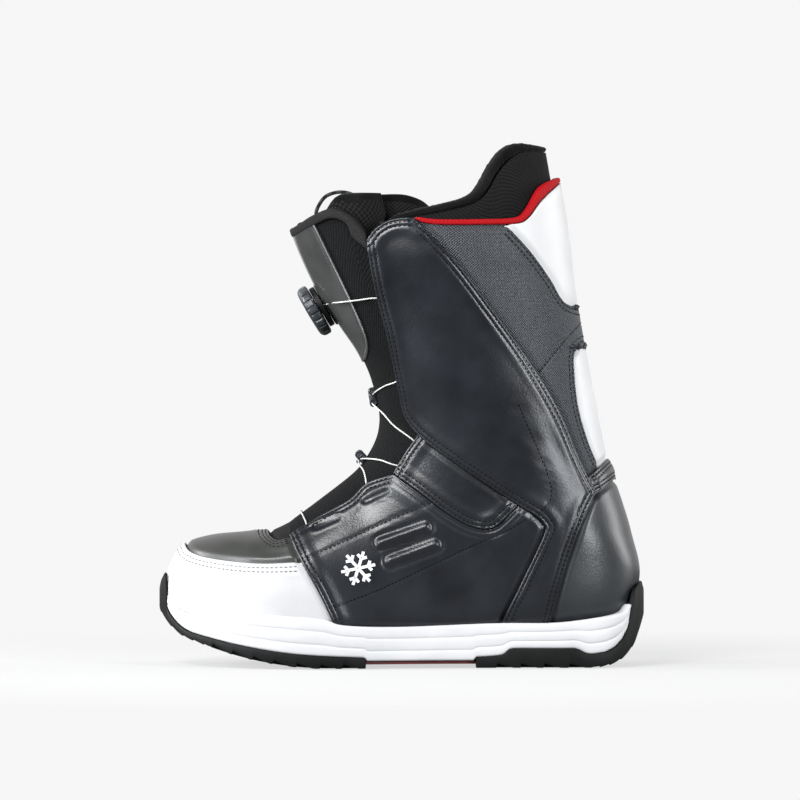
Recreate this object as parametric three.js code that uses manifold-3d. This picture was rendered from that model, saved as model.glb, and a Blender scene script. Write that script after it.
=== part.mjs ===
// Snowboard boot for the left foot, with a wire lace wound by a dial on the tongue.
// Millimetres, +Z up. The toe points to -X, the heel to +X, the outer (lateral) side to -Y.
import * as THREE from 'three';
import * as BufferGeometryUtils from 'three/addons/utils/BufferGeometryUtils.js';
import Module from 'manifold-3d';

const wasm = await Module();
wasm.setup();

// ---- driving dimensions ----
const gap = 0.3;               // clearance between neighbouring pieces
const leather = 2.2;           // thickness of the outer panels
const stiffener = [2.5, 3.7];  // depth below the skin: toe puff, heel stiffener, lasting board
const liningLayer = [4.0, 5.5];
const tongueLayer = [2.5, 5.0];
const linerDepth = 5.9;        // depth of the liner's outer surface
const linerFoot = 5;           // liner thickness round the toes
const linerShaft = 10;         // liner thickness round the leg
const boardHeight = 21;        // underside of the upper, inside the midsole's cup
const around = 14;             // faces round the upper
const along = 18;              // faces from toe to shaft top
const far = 80;                // reaches past either side of the boot
const laceRadius = 0.5;
const sleeveRadius = 0.85;     // bore of everything the lace runs through
const guideRadius = 1.5;
const dialCentre = new THREE.Vector3(-48.2, 0, 230.7);
const dialAxis = new THREE.Vector3(-0.862, 0, -0.507);

// ---- materials ----
function finish(color, roughness, metalness = 0) {
  return new THREE.MeshStandardMaterial({ color, roughness, metalness });
}
const smoothLeather = finish(0x17181a, 0.45);
const grainLeather = finish(0x232528, 0.6);
const oliveLeather = finish(0x1d1c18, 0.5);
const whiteLeather = finish(0xdfe0e0, 0.5);
const foam = finish(0xe4e5e5, 0.6);
const blackRubber = finish(0x161616, 0.75);
const redPlate = finish(0x7a2420, 0.6);
const redCloth = finish(0xa3222a, 0.7);
const knit = finish(0x1b1c1e, 0.85);
const fleece = finish(0x141415, 0.95);
const plastic = finish(0x191a1b, 0.4);
const greyPlastic = finish(0x6f7274, 0.45);
const glossShield = finish(0x2b2c2e, 0.2);
const steel = finish(0xb8bbbd, 0.3, 1);
const board = finish(0x8a8478, 0.9);

const boot = new THREE.Group();

function addMesh(name, solid, material, parent = boot) {
  const mesh = new THREE.Mesh(solid.isBufferGeometry ? solid : toGeometry(solid), material);
  mesh.name = name;
  parent.add(mesh);
  return mesh;
}

// ---- solids and cuts ----
function toSolid(geometry) {
  const bare = geometry.clone();
  bare.deleteAttribute('normal');
  bare.deleteAttribute('uv');
  const merged = BufferGeometryUtils.mergeVertices(bare, 1e-4);
  const vertProperties = new Float32Array(merged.attributes.position.array);
  const triVerts = new Uint32Array(merged.index.array);
  return new wasm.Manifold(new wasm.Mesh({ numProp: 3, vertProperties, triVerts }));
}

function toGeometry(solid) {
  const mesh = solid.getMesh();
  const geometry = new THREE.BufferGeometry();
  geometry.setAttribute('position', new THREE.BufferAttribute(mesh.vertProperties, 3));
  geometry.setIndex(new THREE.BufferAttribute(mesh.triVerts, 1));
  geometry.computeVertexNormals();
  return geometry;
}

function largestPiece(solid) {
  const pieces = solid.decompose();
  return pieces.sort((a, b) => b.volume() - a.volume())[0];
}

// The outline without points that fall on their neighbour.
function spaced(outline, least = 0.05) {
  return outline.filter(([x, z], i) => {
    const [a, b] = outline[(i + 1) % outline.length];
    return Math.hypot(a - x, b - z) > least;
  });
}

// A prism of a side-view outline of [x, z] points, from y = low to y = high.
function sidePrism(outline, low = -far, high = far) {
  const shape = new THREE.Shape(spaced(outline).map(([x, z]) => new THREE.Vector2(x, z)));
  const geometry = new THREE.ExtrudeGeometry(shape, { depth: high - low, bevelEnabled: false });
  geometry.rotateX(Math.PI / 2);
  geometry.translate(0, high, 0);
  return toSolid(geometry);
}

// A smooth run of [x, z] points through the given ones.
function curve(points, steps = 2) {
  const spline = new THREE.SplineCurve(points.map(([x, z]) => new THREE.Vector2(x, z)));
  return spline.getPoints(steps * (points.length - 1)).map((p) => [p.x, p.y]);
}

// The outline moved inwards by half of the gap between neighbours.
function inset(outline, distance = gap / 2 + 0.05) {
  const vectors = spaced(outline).map(([x, z]) => new THREE.Vector2(x, z));
  const turn = Math.sign(THREE.ShapeUtils.area(vectors));
  const count = vectors.length;
  return vectors.map((point, i) => {
    const before = vectors[(i + count - 1) % count];
    const after = vectors[(i + 1) % count];
    const a = point.clone().sub(before).normalize();
    const b = after.clone().sub(point).normalize();
    const normal = new THREE.Vector2(-a.y - b.y, a.x + b.x).multiplyScalar(turn);
    const reach = distance / Math.max(0.35, normal.length() / 2);
    normal.normalize().multiplyScalar(reach);
    return [point.x + normal.x, point.y + normal.y];
  });
}

const reversed = (points) => points.slice().reverse();
const shifted = (points, dx, dz) => points.map(([x, z]) => [x + dx, z + dz]);

// ---- the boot's skin ----
// Sections that run from the top or front line to the sole or back line, from the toe to the
// shaft's top: [front x, front z, back x, back z, half width, widest place, front and back
// fullness, sideways shift].
const sections = [
  [-150.5, 52, -150.5, 43, 6, 0.5, 2, 2, 8],
  [-148.5, 63, -148.5, 32, 19, 0.55, 2.2, 2.5, 8],
  [-143.5, 72.5, -143, 25, 29, 0.6, 2.3, 3.5, 7.5],
  [-135, 79, -134, 22, 37.5, 0.62, 2.4, 4.5, 7],
  [-119, 83, -117, 21, 46, 0.65, 2.3, 5, 5],
  [-100, 85, -97, 21, 51.5, 0.68, 2.3, 5, 2],
  [-82, 87, -76, 21, 54.5, 0.7, 2.2, 5, 0],
  [-65.2, 99, -55, 21, 54.5, 0.72, 2.1, 5, 0],
  [-41, 117, -30, 21, 51.5, 0.74, 2.1, 5, 0.5],
  [-28, 128.5, 0, 21, 49, 0.72, 2.1, 5, 1],
  [-21, 139, 35, 21, 47.5, 0.66, 2.2, 5, 1.5],
  [-17.2, 148, 75, 21, 47, 0.6, 2.3, 4.5, 1.8],
  [-16, 156, 112, 22, 47, 0.56, 2.4, 3.6, 2],
  [-16.3, 163, 142, 29, 48, 0.52, 2.5, 2.6, 2],
  [-18, 171, 151.8, 57, 49, 0.5, 2.5, 2.3, 1.8],
  [-20.5, 180, 146.5, 85, 50, 0.5, 2.5, 2.2, 1.5],
  [-24, 190, 138.5, 112, 51, 0.5, 2.5, 2.2, 1],
  [-30, 202, 131, 135, 52, 0.5, 2.4, 2.2, 0.5],
  [-41, 218, 124, 168, 53, 0.5, 2.4, 2.2, 0],
  [-55, 240, 117, 206, 53.5, 0.5, 2.4, 2.2, 0],
  [-66, 263, 111, 243, 54, 0.5, 2.3, 2.2, 0],
  [-72.5, 280, 107, 275, 54.5, 0.5, 2.3, 2.2, 0],
  [-80, 299, 101, 312, 55, 0.5, 2.3, 2.2, 0],
  [-84, 309, 96, 340, 55, 0.5, 2.3, 2.2, 0],
];
const toeSections = 4;         // the first few sections, which also move back as a layer goes in
const slimmest = 2;            // smallest half size of a section of an inner layer

function column(index) {
  return new THREE.SplineCurve(sections.map((row) => new THREE.Vector2(row[index], row[index + 1])));
}
const frontLine = column(0);
const backLine = column(2);
const widthLine = column(4);
const fullnessLine = column(6);
const shiftLine = new THREE.SplineCurve(sections.map((row) => new THREE.Vector2(row[8], 0)));

// One section of the layer that lies depth below the skin.
function sectionAt(v, depth) {
  const front = frontLine.getPoint(v);
  const back = backLine.getPoint(v);
  const width = widthLine.getPoint(v);
  const fullness = fullnessLine.getPoint(v);
  const tip = Math.max(0, 1 - (v * (sections.length - 1)) / toeSections);
  const axis = back.clone().sub(front);
  const length = axis.length();
  axis.normalize();
  const centre = front.clone().addScaledVector(axis, length * width.y);
  centre.x += depth * tip;
  return {
    axis,
    centre,
    shift: shiftLine.getPoint(v).x,
    half: Math.max(slimmest, width.x - depth),
    toFront: Math.max(slimmest, length * width.y - depth),
    toBack: Math.max(slimmest, length * (1 - width.y) - depth),
    frontPower: fullness.x,
    backPower: fullness.y,
  };
}

// A point of a section: angle 0 is at the front or top, a half turn is at the back or sole,
// and reach goes from 0 at the section's middle to 1 on the layer.
function pointOf(section, angle, reach = 1) {
  const c = Math.cos(angle);
  const s = Math.sin(angle);
  const power = c > 0 ? section.frontPower : section.backPower;
  const r = reach / Math.pow(Math.abs(c) ** power + Math.abs(s) ** power, 1 / power);
  const run = -c * r * (c > 0 ? section.toFront : section.toBack);
  return new THREE.Vector3(
    section.centre.x + section.axis.x * run,
    section.shift + s * r * section.half,
    section.centre.y + section.axis.y * run,
  );
}

// The solid inside the layer at a depth, which may change from toe to shaft.
function bodyInside(depth) {
  const depthAt = typeof depth === 'function' ? depth : () => depth;
  const geometry = new THREE.CylinderGeometry(1, 1, 1, around, along);
  const place = geometry.attributes.position;
  for (let i = 0; i < place.count; i += 1) {
    const v = 0.5 - place.getY(i);
    const reach = Math.hypot(place.getX(i), place.getZ(i));
    const angle = Math.atan2(place.getX(i), place.getZ(i));
    const point = pointOf(sectionAt(v, depthAt(v)), angle, reach);
    place.setXYZ(i, point.x, point.y, point.z);
  }
  return toSolid(geometry);
}

function layer(outer, inner) {
  return bodyInside(outer).subtract(bodyInside(inner));
}

// The point of the skin whose side view is x, z, on the side given as -1 or 1.
function onSkin(x, z, side, depth) {
  const steps = 300;
  const across = (v) => {
    const front = frontLine.getPoint(v);
    const back = backLine.getPoint(v);
    return (back.x - front.x) * (z - front.y) - (back.y - front.y) * (x - front.x);
  };
  let v = 1;
  for (let i = 1; i <= steps; i += 1) {
    const a = across((i - 1) / steps);
    const b = across(i / steps);
    if (a * b <= 0) {
      v = (i - 1 + a / (a - b || 1)) / steps;
      break;
    }
  }
  const section = sectionAt(v, 0);
  const run = (x - section.centre.x) * section.axis.x + (z - section.centre.y) * section.axis.y;
  const part = THREE.MathUtils.clamp(run < 0 ? run / section.toFront : run / section.toBack, -1, 1);
  const power = run < 0 ? section.frontPower : section.backPower;
  const height = Math.pow(1 - Math.abs(part) ** power, 1 / power);
  return pointOf(sectionAt(v, depth), side * Math.atan2(height, -part));
}

// ---- seams, as side-view lines ----
const vampEdge = curve([[-139, 78], [-135, 73], [-124, 69.5], [-103, 67], [-85, 66.3], [-64, 67.5]]);
const quarterFront = curve([[-71, 83], [-64.3, 69], [-52, 47], [-38, 17]]);
const throatEdge = curve([[-84, 84], [-82, 81], [-78, 80.5], [-71, 84]], 2);
const eyestay = curve([[-71, 84], [-54, 95], [-34, 106], [-22, 117], [-5, 123], [7, 143], [10, 148]]);
const cuffFront = curve([[10, 148], [2, 159], [-2, 176], [-9, 209], [-16, 236], [-20, 258], [-22, 272]]);
const cuffTop = curve([[-22, 272], [-17, 279], [-8, 284.5], [5, 286]]);
const ankleLine = curve([[10, 148], [20, 140], [43, 124], [74, 103.5], [84, 97.5], [90, 92], [90.5, 85],
  [76, 54], [57, 17]]);
const ankleCorner = ankleLine.length - 1;
const patchEdge = curve([[-5, 123], [13, 110], [29, 98], [45, 89.5], [58, 89], [68, 97], [74, 103.5]]);
const rearSeam = curve([[11, 283], [33, 260], [56, 230], [83, 192], [100, 163], [111, 137], [118.5, 121],
  [124, 111]]);
const rearEdge = curve([[67, 281], [82, 265], [95, 247], [104, 232.5], [114, 229]]);
const windowEdge = curve([[117, 206], [111, 201], [110.5, 186], [113, 165], [119, 144], [126, 127.5]]);
const counterFront = curve([[124, 111], [117, 98], [105, 66], [92, 17]]);
const trimTop = curve([[7, 287], [22, 285], [50, 285], [73, 286], [81, 291.5], [90, 305.5], [101, 311]]);
const trimLow = curve([[9, 284], [22, 281.5], [50, 281.3], [73, 282], [81, 285.5], [90, 297], [101, 308.5]]);

function nearest(line, [x, z]) {
  const gaps = line.map(([a, b]) => (a - x) ** 2 + (b - z) ** 2);
  return gaps.indexOf(Math.min(...gaps));
}
const patchMeets = nearest(ankleLine, [74, 103.5]);
const ankleToPatch = ankleLine.slice(0, patchMeets + 1);
const patchToSole = ankleLine.slice(patchMeets, ankleCorner + 1);
const eyestayLow = eyestay.slice(0, nearest(eyestay, [-5, 123]) + 1);
const eyestayHigh = eyestay.slice(nearest(eyestay, [-5, 123]));
const seamToStrap = rearSeam.slice(0, nearest(rearSeam, [118.5, 121]) + 1);

const outlines = {
  toeCap: [[-170, 90], [-143, 90], ...vampEdge, ...quarterFront.slice(2), [-170, 17]],
  vamp: [[-143, 100], ...vampEdge, ...reversed(quarterFront.slice(0, 2)), ...reversed(throatEdge), [-84, 100]],
  throat: [[-84, 100], ...throatEdge, [-64, 89], [-68, 100]],
  quarter: [...quarterFront, ...reversed(patchToSole), ...reversed(patchEdge), ...reversed(eyestayLow)],
  anklePatch: [...patchEdge, ...reversed(ankleToPatch), ...reversed(eyestayHigh)],
  cuff: [...cuffFront, ...cuffTop, ...rearSeam, ...counterFront, ...reversed(ankleLine)],
  rearCuff: [...seamToStrap, [126, 127.5], ...reversed(windowEdge), [130, 206], [130, 229],
    ...reversed(rearEdge), [50, 281], [22, 281.2]],
  backstayUpper: [...rearEdge, [130, 229], [120, 310], ...reversed(trimLow.slice(6))],
  backstayLower: [...windowEdge, [150, 147], [130, 206]],
  strap: [[118.5, 121], [150, 148], [160, 132], [124, 111]],
  counter: [...counterFront, [170, 17], [170, 139]],
};

// ---- sole unit ----
// Lateral and medial edges of the sole in plan, from the toe to the heel.
const solePlan = [
  [-155.2, 8], [-152.5, -5], [-146, -17], [-134, -31.5], [-115, -45], [-92, -54.5], [-65, -58],
  [-35, -55.5], [-5, -49.5], [30, -44.5], [70, -42.5], [105, -43], [130, -38], [146, -26],
  [153, -12], [155.2, 2], [153, 16], [146, 30], [130, 42], [105, 47], [70, 46.5], [30, 48.5],
  [-5, 52.5], [-35, 56.5], [-65, 58], [-92, 56], [-115, 52], [-134, 44.5], [-146, 33],
  [-152.5, 21],
];

function planPrism(shrink, low, high) {
  const loop = new THREE.CatmullRomCurve3(solePlan.map(([x, y]) => new THREE.Vector3(x, y, 0)), true);
  const points = loop.getPoints(60).slice(0, -1).map((p) => [p.x, p.y]);
  const outline = inset(points, shrink);
  const shape = new THREE.Shape(outline.map(([x, y]) => new THREE.Vector2(x, y)));
  const geometry = new THREE.ExtrudeGeometry(shape, { depth: high - low, bevelEnabled: false });
  geometry.translate(0, 0, low);
  return toSolid(geometry);
}

const toeSpring = (x) => (x < -45 ? 0.0022 * (x + 45) ** 2 : 0);
const lugDepth = 2.5;

// The bottom edge with a notch in front of each lug, from low x to high x.
function lugLine(fronts, end) {
  const points = [];
  fronts.forEach((x, i) => {
    const next = i + 1 < fronts.length ? fronts[i + 1] : end;
    points.push([x + 1, toeSpring(x) + lugDepth], [x + 2.5, toeSpring(x + 2.5)], [next, toeSpring(next)]);
  });
  return points;
}

const forefootLugs = [-121, -108, -95, -82, -67.5, -52, -38];
const forefootEnd = -22.7;
const heelStart = 47.4;
const heelLugs = [60, 75, 90, 106];
const bumperOuter = curve([[-152, 58], [-155.6, 45], [-154, 34], [-142, 21], [-125, 14.2], [-121, 12.7]]);
const bumperInner = curve([[-150.6, 52], [-150.2, 44], [-149, 34], [-139, 24], [-123, 19], [-97, 13.5],
  [-65, 9], [-22.7, 6.7]]);
const heelOuter = curve([[121, 0], [137, 3.5], [148, 14], [155.6, 34], [153.8, 53]]);
const heelInner = curve([[47.4, 6.7], [62, 7.5], [70, 12], [112, 12], [121, 8.5], [136, 12], [145, 24],
  [146.5, 38], [150, 50]]);
const soleTop = curve([[-150, 45.2], [-139, 42], [-108, 36], [-76, 33.5], [-50, 31.5], [-36, 27.5],
  [0, 26.3], [60, 28.3], [96, 28.6], [126, 31.8], [142, 34.8], [146, 41]]);

function buildSole() {
  const plan = planPrism(0, -1, 70);
  const forefoot = [...bumperInner, [forefootEnd, 0], ...reversed(lugLine(forefootLugs, forefootEnd)),
    ...reversed(bumperOuter)];
  const heel = [[heelStart, 0], ...lugLine([heelStart, ...heelLugs], 121), ...heelOuter,
    ...reversed(heelInner)];
  const cup = bodyInside(-gap);
  const tread = (outline) => largestPiece(sidePrism(outline).intersect(plan).subtract(cup));
  addMesh('outsole_forefoot', tread(forefoot), blackRubber);
  addMesh('outsole_heel', tread(heel), blackRubber);
  const archPlate = [[forefootEnd, 2.2], [heelStart, 2.2], [heelStart, 4.4], [forefootEnd, 4.4]];
  addMesh('arch_plate', sidePrism(inset(archPlate)).intersect(planPrism(5, -1, 70)), redPlate);
  const shankSize = [110, 34, 1.8];
  const shank = new THREE.BoxGeometry(...shankSize);
  shank.translate(30, 1, boardHeight - 2 * gap - shankSize[2] / 2);
  const recess = new THREE.BoxGeometry(shankSize[0] + 1, shankSize[1] + 1, shankSize[2] + 1.5);
  recess.translate(30, 1, boardHeight - 0.6 - shankSize[2] / 2 + 0.4);
  const side = inset([...bumperInner.filter(([, z]) => z < 44), [forefootEnd, 4.6], [heelStart, 4.6],
    ...heelInner.filter(([, z]) => z < 39), ...reversed(soleTop)], gap);
  const midsole = sidePrism(side).intersect(planPrism(0.8, -1, 70)).subtract(cup);
  addMesh('midsole', largestPiece(midsole.subtract(toSolid(recess))), foam);
  addMesh('shank', shank, board);
}

// ---- lace ----
const laceHalf = {
  dialEnd: (side) => [new THREE.Vector3(-49.3, side * 11, 229.6), new THREE.Vector3(-46.5, side * 18, 231.2)],
  upper: [[-38, 232, 0], [-28, 233.5, 0.8], [-17.5, 235, 1.9], [-12.5, 234, 3.7], [-9.5, 226, 3.7],
    [-5.5, 210, 3.7], [-1.5, 195, 3.7], [-1, 187, 3.7], [-5, 182.5, 2.4], [-12, 179.5, 1.8]],
  middle: [[-12.5, 161.5, 1.8], [-6, 154.5, 1.8], [5, 146.5, 2.2], [10.5, 141.5, 3.7], [9.5, 134.5, 3.7],
    [3.5, 129, 3.3], [-6, 130, 1.8], [-15, 133, 1.8]],
  lower: [[-24.5, 125.5, 1.8], [-23, 117.5, 2.4], [-24, 110.5, 3.7], [-34, 101.5, 3.7], [-48, 94, 3.7],
    [-58.5, 90, 3.4], [-61.5, 94.5, 1.7], [-63.5, 98.2, 1.7]],
};
const crossings = {
  tongueHigh: (level) => new THREE.Vector3(-19.5 - level, 0, 170.5),
  tongueLow: (level) => new THREE.Vector3(-27.5 - 0.7 * level, 0, 129.8 + 0.7 * level),
  throat: () => new THREE.Vector3(-66.2, 0, 100),
};

function laceRun(name, side) {
  return laceHalf[name].map(([x, z, depth]) => onSkin(x, z, side, depth));
}

function laceRoute() {
  const out = -1;
  const inn = 1;
  const first = [...laceHalf.dialEnd(out), ...laceRun('upper', out), crossings.tongueHigh(-0.4),
    ...laceRun('middle', inn), crossings.tongueLow(-0.4), ...laceRun('lower', out)];
  const second = [...laceHalf.dialEnd(inn), ...laceRun('upper', inn), crossings.tongueHigh(1.6),
    ...laceRun('middle', out), crossings.tongueLow(1.6), ...laceRun('lower', inn)];
  return [...first, crossings.throat(), ...second.reverse()];
}

function tubeAlong(points, radius, steps, sides) {
  const path = new THREE.CatmullRomCurve3(points, false, 'centripetal');
  const shape = new THREE.Shape();
  shape.absarc(0, 0, radius, 0, 2 * Math.PI);
  const section = new THREE.Shape(shape.getSpacedPoints(sides).slice(0, -1));
  return new THREE.ExtrudeGeometry(section, { steps, bevelEnabled: false, extrudePath: path });
}

const route = laceRoute();
const laceSteps = 84;
const sleeve = toSolid(tubeAlong(route, sleeveRadius, laceSteps, 5));

// The stretch of each run that a guide tube in the edge of the opening covers.
const guideSpans = { upper: [3, 8], middle: [3, 5], lower: [2, 5] };

function guideTube(level, side, radius) {
  const [from, to] = guideSpans[level];
  const points = laceRun(level, side).slice(from, to);
  return toSolid(tubeAlong(points, radius, 2 * (to - from), 6));
}

// Room for the lace and its guides in the pieces that they run through.
function laceChannels() {
  let channels = sleeve;
  for (const level of Object.keys(guideSpans)) {
    for (const side of [-1, 1]) {
      channels = channels.add(guideTube(level, side, guideRadius + gap));
    }
  }
  return channels;
}
const channels = laceChannels();

// ---- upper panels ----
function panel(outline, depths, low = -far, high = far) {
  return layer(...depths).intersect(sidePrism(inset(outline), low, high));
}

function buildUpper() {
  const skinLayer = [0, leather];
  const shell = layer(...skinLayer);
  const cut = (outline, low = -far, high = far) => {
    return largestPiece(shell.intersect(sidePrism(inset(outline), low, high)).subtract(channels));
  };
  addMesh('toe_cap', cut(outlines.toeCap), whiteLeather);
  addMesh('vamp', cut(outlines.vamp), oliveLeather);
  addMesh('throat_tab', cut(outlines.throat), oliveLeather);
  addMesh('backstay_upper', cut(outlines.backstayUpper), whiteLeather);
  addMesh('backstay_lower', cut(outlines.backstayLower), whiteLeather);
  addMesh('heel_strap', cut(outlines.strap), smoothLeather);
  addMesh('heel_counter', cut(outlines.counter), oliveLeather);
  for (const [name, low, high] of [['lateral', -far, -0.2], ['medial', 0.2, far]]) {
    addMesh(`quarter_${name}`, cut(outlines.quarter, low, high), smoothLeather);
    addMesh(`ankle_patch_${name}`, cut(outlines.anklePatch, low, high), smoothLeather);
    addMesh(`cuff_${name}`, cut(outlines.cuff, low, high), smoothLeather);
    addMesh(`rear_cuff_${name}`, cut(outlines.rearCuff, low, high), grainLeather);
  }
  const trimDepths = [0.2, 5.6];
  const trim = panel([...trimTop, [130, 311], [130, 308.5], ...reversed(trimLow)], trimDepths);
  addMesh('collar_trim', largestPiece(trim), redCloth);
}

function buildInner() {
  const stiff = layer(...stiffener);
  const puff = [[-170, 17], [-170, 90], [-112, 90], [-104, 60], [-108, 27], [-112, 17]];
  addMesh('toe_puff', stiff.intersect(sidePrism(puff)), board);
  const heel = [[88, 17], [88, 40], [100, 70], [116, 96], [138, 104], [170, 104], [170, 17]];
  addMesh('heel_stiffener', stiff.intersect(sidePrism(heel)), board);
  const boardOutline = [[-107.5, 17], [-103.5, 27.5], [87, 27.5], [87, 17]];
  const lastingBoard = stiff.intersect(sidePrism(boardOutline)).intersect(planPrism(14, 0, 60));
  addMesh('lasting_board', largestPiece(lastingBoard), board);
  const opening = [[-86, 120], [-86, 84], [-72, 80], ...shifted(eyestay.slice(2), 8, -8),
    ...shifted(cuffFront, 10, 0), [-17, 300], [-120, 300]];
  const whole = [[-170, 17], [170, 17], [170, 308], [101, 308], ...reversed(trimLow), [-30, 284],
    [-30, 400], [-170, 400]];
  const lining = layer(...liningLayer).intersect(sidePrism(inset(whole)));
  addMesh('shell_lining', largestPiece(lining.subtract(sidePrism(opening))), knit);
}

// ---- tongue ----
const foldHinge = [-15.5, 153];   // in the side view
const foldEdge = [-1, 168];
const bindingOuter = curve([[-78, 277], [-71, 280], [-58, 288.5], [-46, 292], [-34, 287.5], [-25, 278],
  [-22.5, 272]]);
const bindingInner = curve([[-80, 272], [-69, 275.5], [-57, 282.5], [-46, 286], [-37, 283], [-32, 275]]);
const shieldEdge = curve([[-57, 282], [-40, 247], [-29, 223], [-23, 206], [-25, 195]]);

function buildTongue() {
  const cloth = layer(...tongueLayer);
  const low = [[-79, 130], [-79, 84], ...eyestay.slice(1), ...cuffFront.slice(1, 3), foldEdge, foldHinge,
    [-30, 140]];
  const lower = cloth.intersect(sidePrism(inset(low))).subtract(channels);
  addMesh('tongue_lower', largestPiece(lower), knit);
  const front = cuffFront.slice(4, -1);
  const high = [foldEdge, ...front, [-24, 272], [-32, 275], ...reversed(bindingInner), [-120, 272],
    [-120, 190], [-30, 140], foldHinge];
  const upper = cloth.intersect(sidePrism(inset(high, 0.4))).subtract(channels);
  addMesh('tongue_upper', largestPiece(upper), knit);
  const shield = [...shieldEdge, [-60, 185], [-130, 270], [-80, 272], [-69, 275.5]];
  const plate = layer(0.6, 2.2).intersect(sidePrism(inset(shield))).subtract(sleeve);
  addMesh('tongue_shield', largestPiece(plate), glossShield);
  const binding = [...bindingOuter, [-32, 275], ...reversed(bindingInner)];
  addMesh('tongue_binding', largestPiece(layer(0.2, 5.5).intersect(sidePrism(inset(binding)))), greyPlastic);
  const guideDepths = [-2.4, 2.2];
  const guideHigh = [[-40, 181], [-20, 180.5], [-15, 176], [-12.5, 168], [-15, 164], [-40, 161]];
  const guideLow = [[-40, 152], [-24, 141], [-18.5, 136], [-20, 128.5], [-26, 123], [-50, 133]];
  const slab = layer(...guideDepths);
  addMesh('tongue_guide_upper', largestPiece(slab.intersect(sidePrism(guideHigh)).subtract(sleeve)), plastic);
  addMesh('tongue_guide_lower', largestPiece(slab.intersect(sidePrism(guideLow)).subtract(sleeve)), plastic);
}

// ---- lace and its side guides ----
function buildLace() {
  addMesh('lace', tubeAlong(route, laceRadius, laceSteps, 5), steel);
  for (const [name, side] of [['lateral', -1], ['medial', 1]]) {
    for (const level of Object.keys(guideSpans)) {
      const tube = guideTube(level, side, guideRadius).subtract(sleeve);
      addMesh(`lace_guide_${level}_${name}`, largestPiece(tube), plastic);
    }
  }
}

// ---- dial ----
function disc(radius, low, high, sides = 20) {
  const geometry = new THREE.CylinderGeometry(radius, radius, high - low, sides);
  geometry.rotateX(Math.PI / 2);
  geometry.translate(0, 0, (low + high) / 2);
  return toSolid(geometry);
}

function turned(profile, sides = 16) {
  const geometry = new THREE.LatheGeometry(profile.map(([r, h]) => new THREE.Vector2(r, h)), sides);
  geometry.rotateX(Math.PI / 2);
  return toSolid(geometry);
}

const knobRadius = 17.2;
const gripRidges = 12;

function buildDial() {
  const group = new THREE.Group();
  group.position.copy(dialCentre);
  group.quaternion.setFromUnitVectors(new THREE.Vector3(0, 0, 1), dialAxis.clone().normalize());
  group.updateMatrix();
  boot.add(group);
  const toDial = new THREE.Matrix4().copy(group.matrix).invert();
  const inDial = (solid) => solid.transform(toDial.toArray());
  const clear = inDial(bodyInside(gap));
  const channel = inDial(sleeve);
  const screwHole = disc(1.7, -10, 20, 10);
  const base = disc(15, -6, 1.2).subtract(clear).subtract(screwHole).subtract(channel);
  addMesh('dial_base', largestPiece(base), plastic, group);
  const housing = disc(13.9, 1.5, 5).subtract(disc(9.4, 2.4, 6)).subtract(screwHole).subtract(channel);
  addMesh('dial_housing', largestPiece(housing), plastic, group);
  const spool = turned([[2.1, 2.7], [9, 2.7], [9, 3], [6, 3.3], [6, 4.4], [9, 4.7], [9, 5], [4, 5],
    [4, 7.4], [2.1, 7.4], [2.1, 2.7]]);
  addMesh('dial_spool', spool, plastic, group);
  const knobProfile = [[4.4, 5.4], [15.6, 5.4], [knobRadius, 6.8], [knobRadius, 10.4], [15.4, 12.9],
    [11.6, 12.9], [11.6, 11.3], [3.9, 11.3], [3.9, 9.5], [4.4, 9.5], [4.4, 5.4]];
  let knob = turned(knobProfile, 24);
  for (let i = 0; i < gripRidges; i += 1) {
    const groove = new THREE.CylinderGeometry(0.9, 0.9, 9, 4);
    const turn = (2 * Math.PI * i) / gripRidges;
    groove.rotateX(Math.PI / 2);
    groove.translate((knobRadius + 0.3) * Math.cos(turn), (knobRadius + 0.3) * Math.sin(turn), 9);
    knob = knob.subtract(toSolid(groove));
  }
  addMesh('dial_knob', largestPiece(knob), plastic, group);
  addMesh('dial_cap', disc(11.3, 11.6, 13.1), greyPlastic, group);
  const screw = turned([[0, 0.8], [1.4, 0.8], [1.4, 7.8], [3.2, 7.8], [3.2, 9], [0, 9]], 10);
  addMesh('dial_screw', screw, steel, group);
}

// ---- liner ----
function linerInner(v) {
  const leg = THREE.MathUtils.smoothstep(v * (sections.length - 1), 6, 13);
  return linerDepth + linerFoot + (linerShaft - linerFoot) * leg;
}
const insideLiner = (v) => linerInner(v) + gap;
const linerEdge = curve([[-17, 280], [-8, 287], [7, 291], [25, 294.5], [44, 299.5], [53, 306.5], [63, 321.5],
  [72, 331], [82, 334.4], [96, 332]]);
const fleeceEdge = curve([[-16, 276], [-6, 283], [9, 286.5], [26, 289.5], [46, 294], [57, 301], [66, 315],
  [75, 324.5], [84, 328.5], [98, 328]]);
const tongueSlot = shifted(cuffFront.slice(3), 7, 0);

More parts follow.
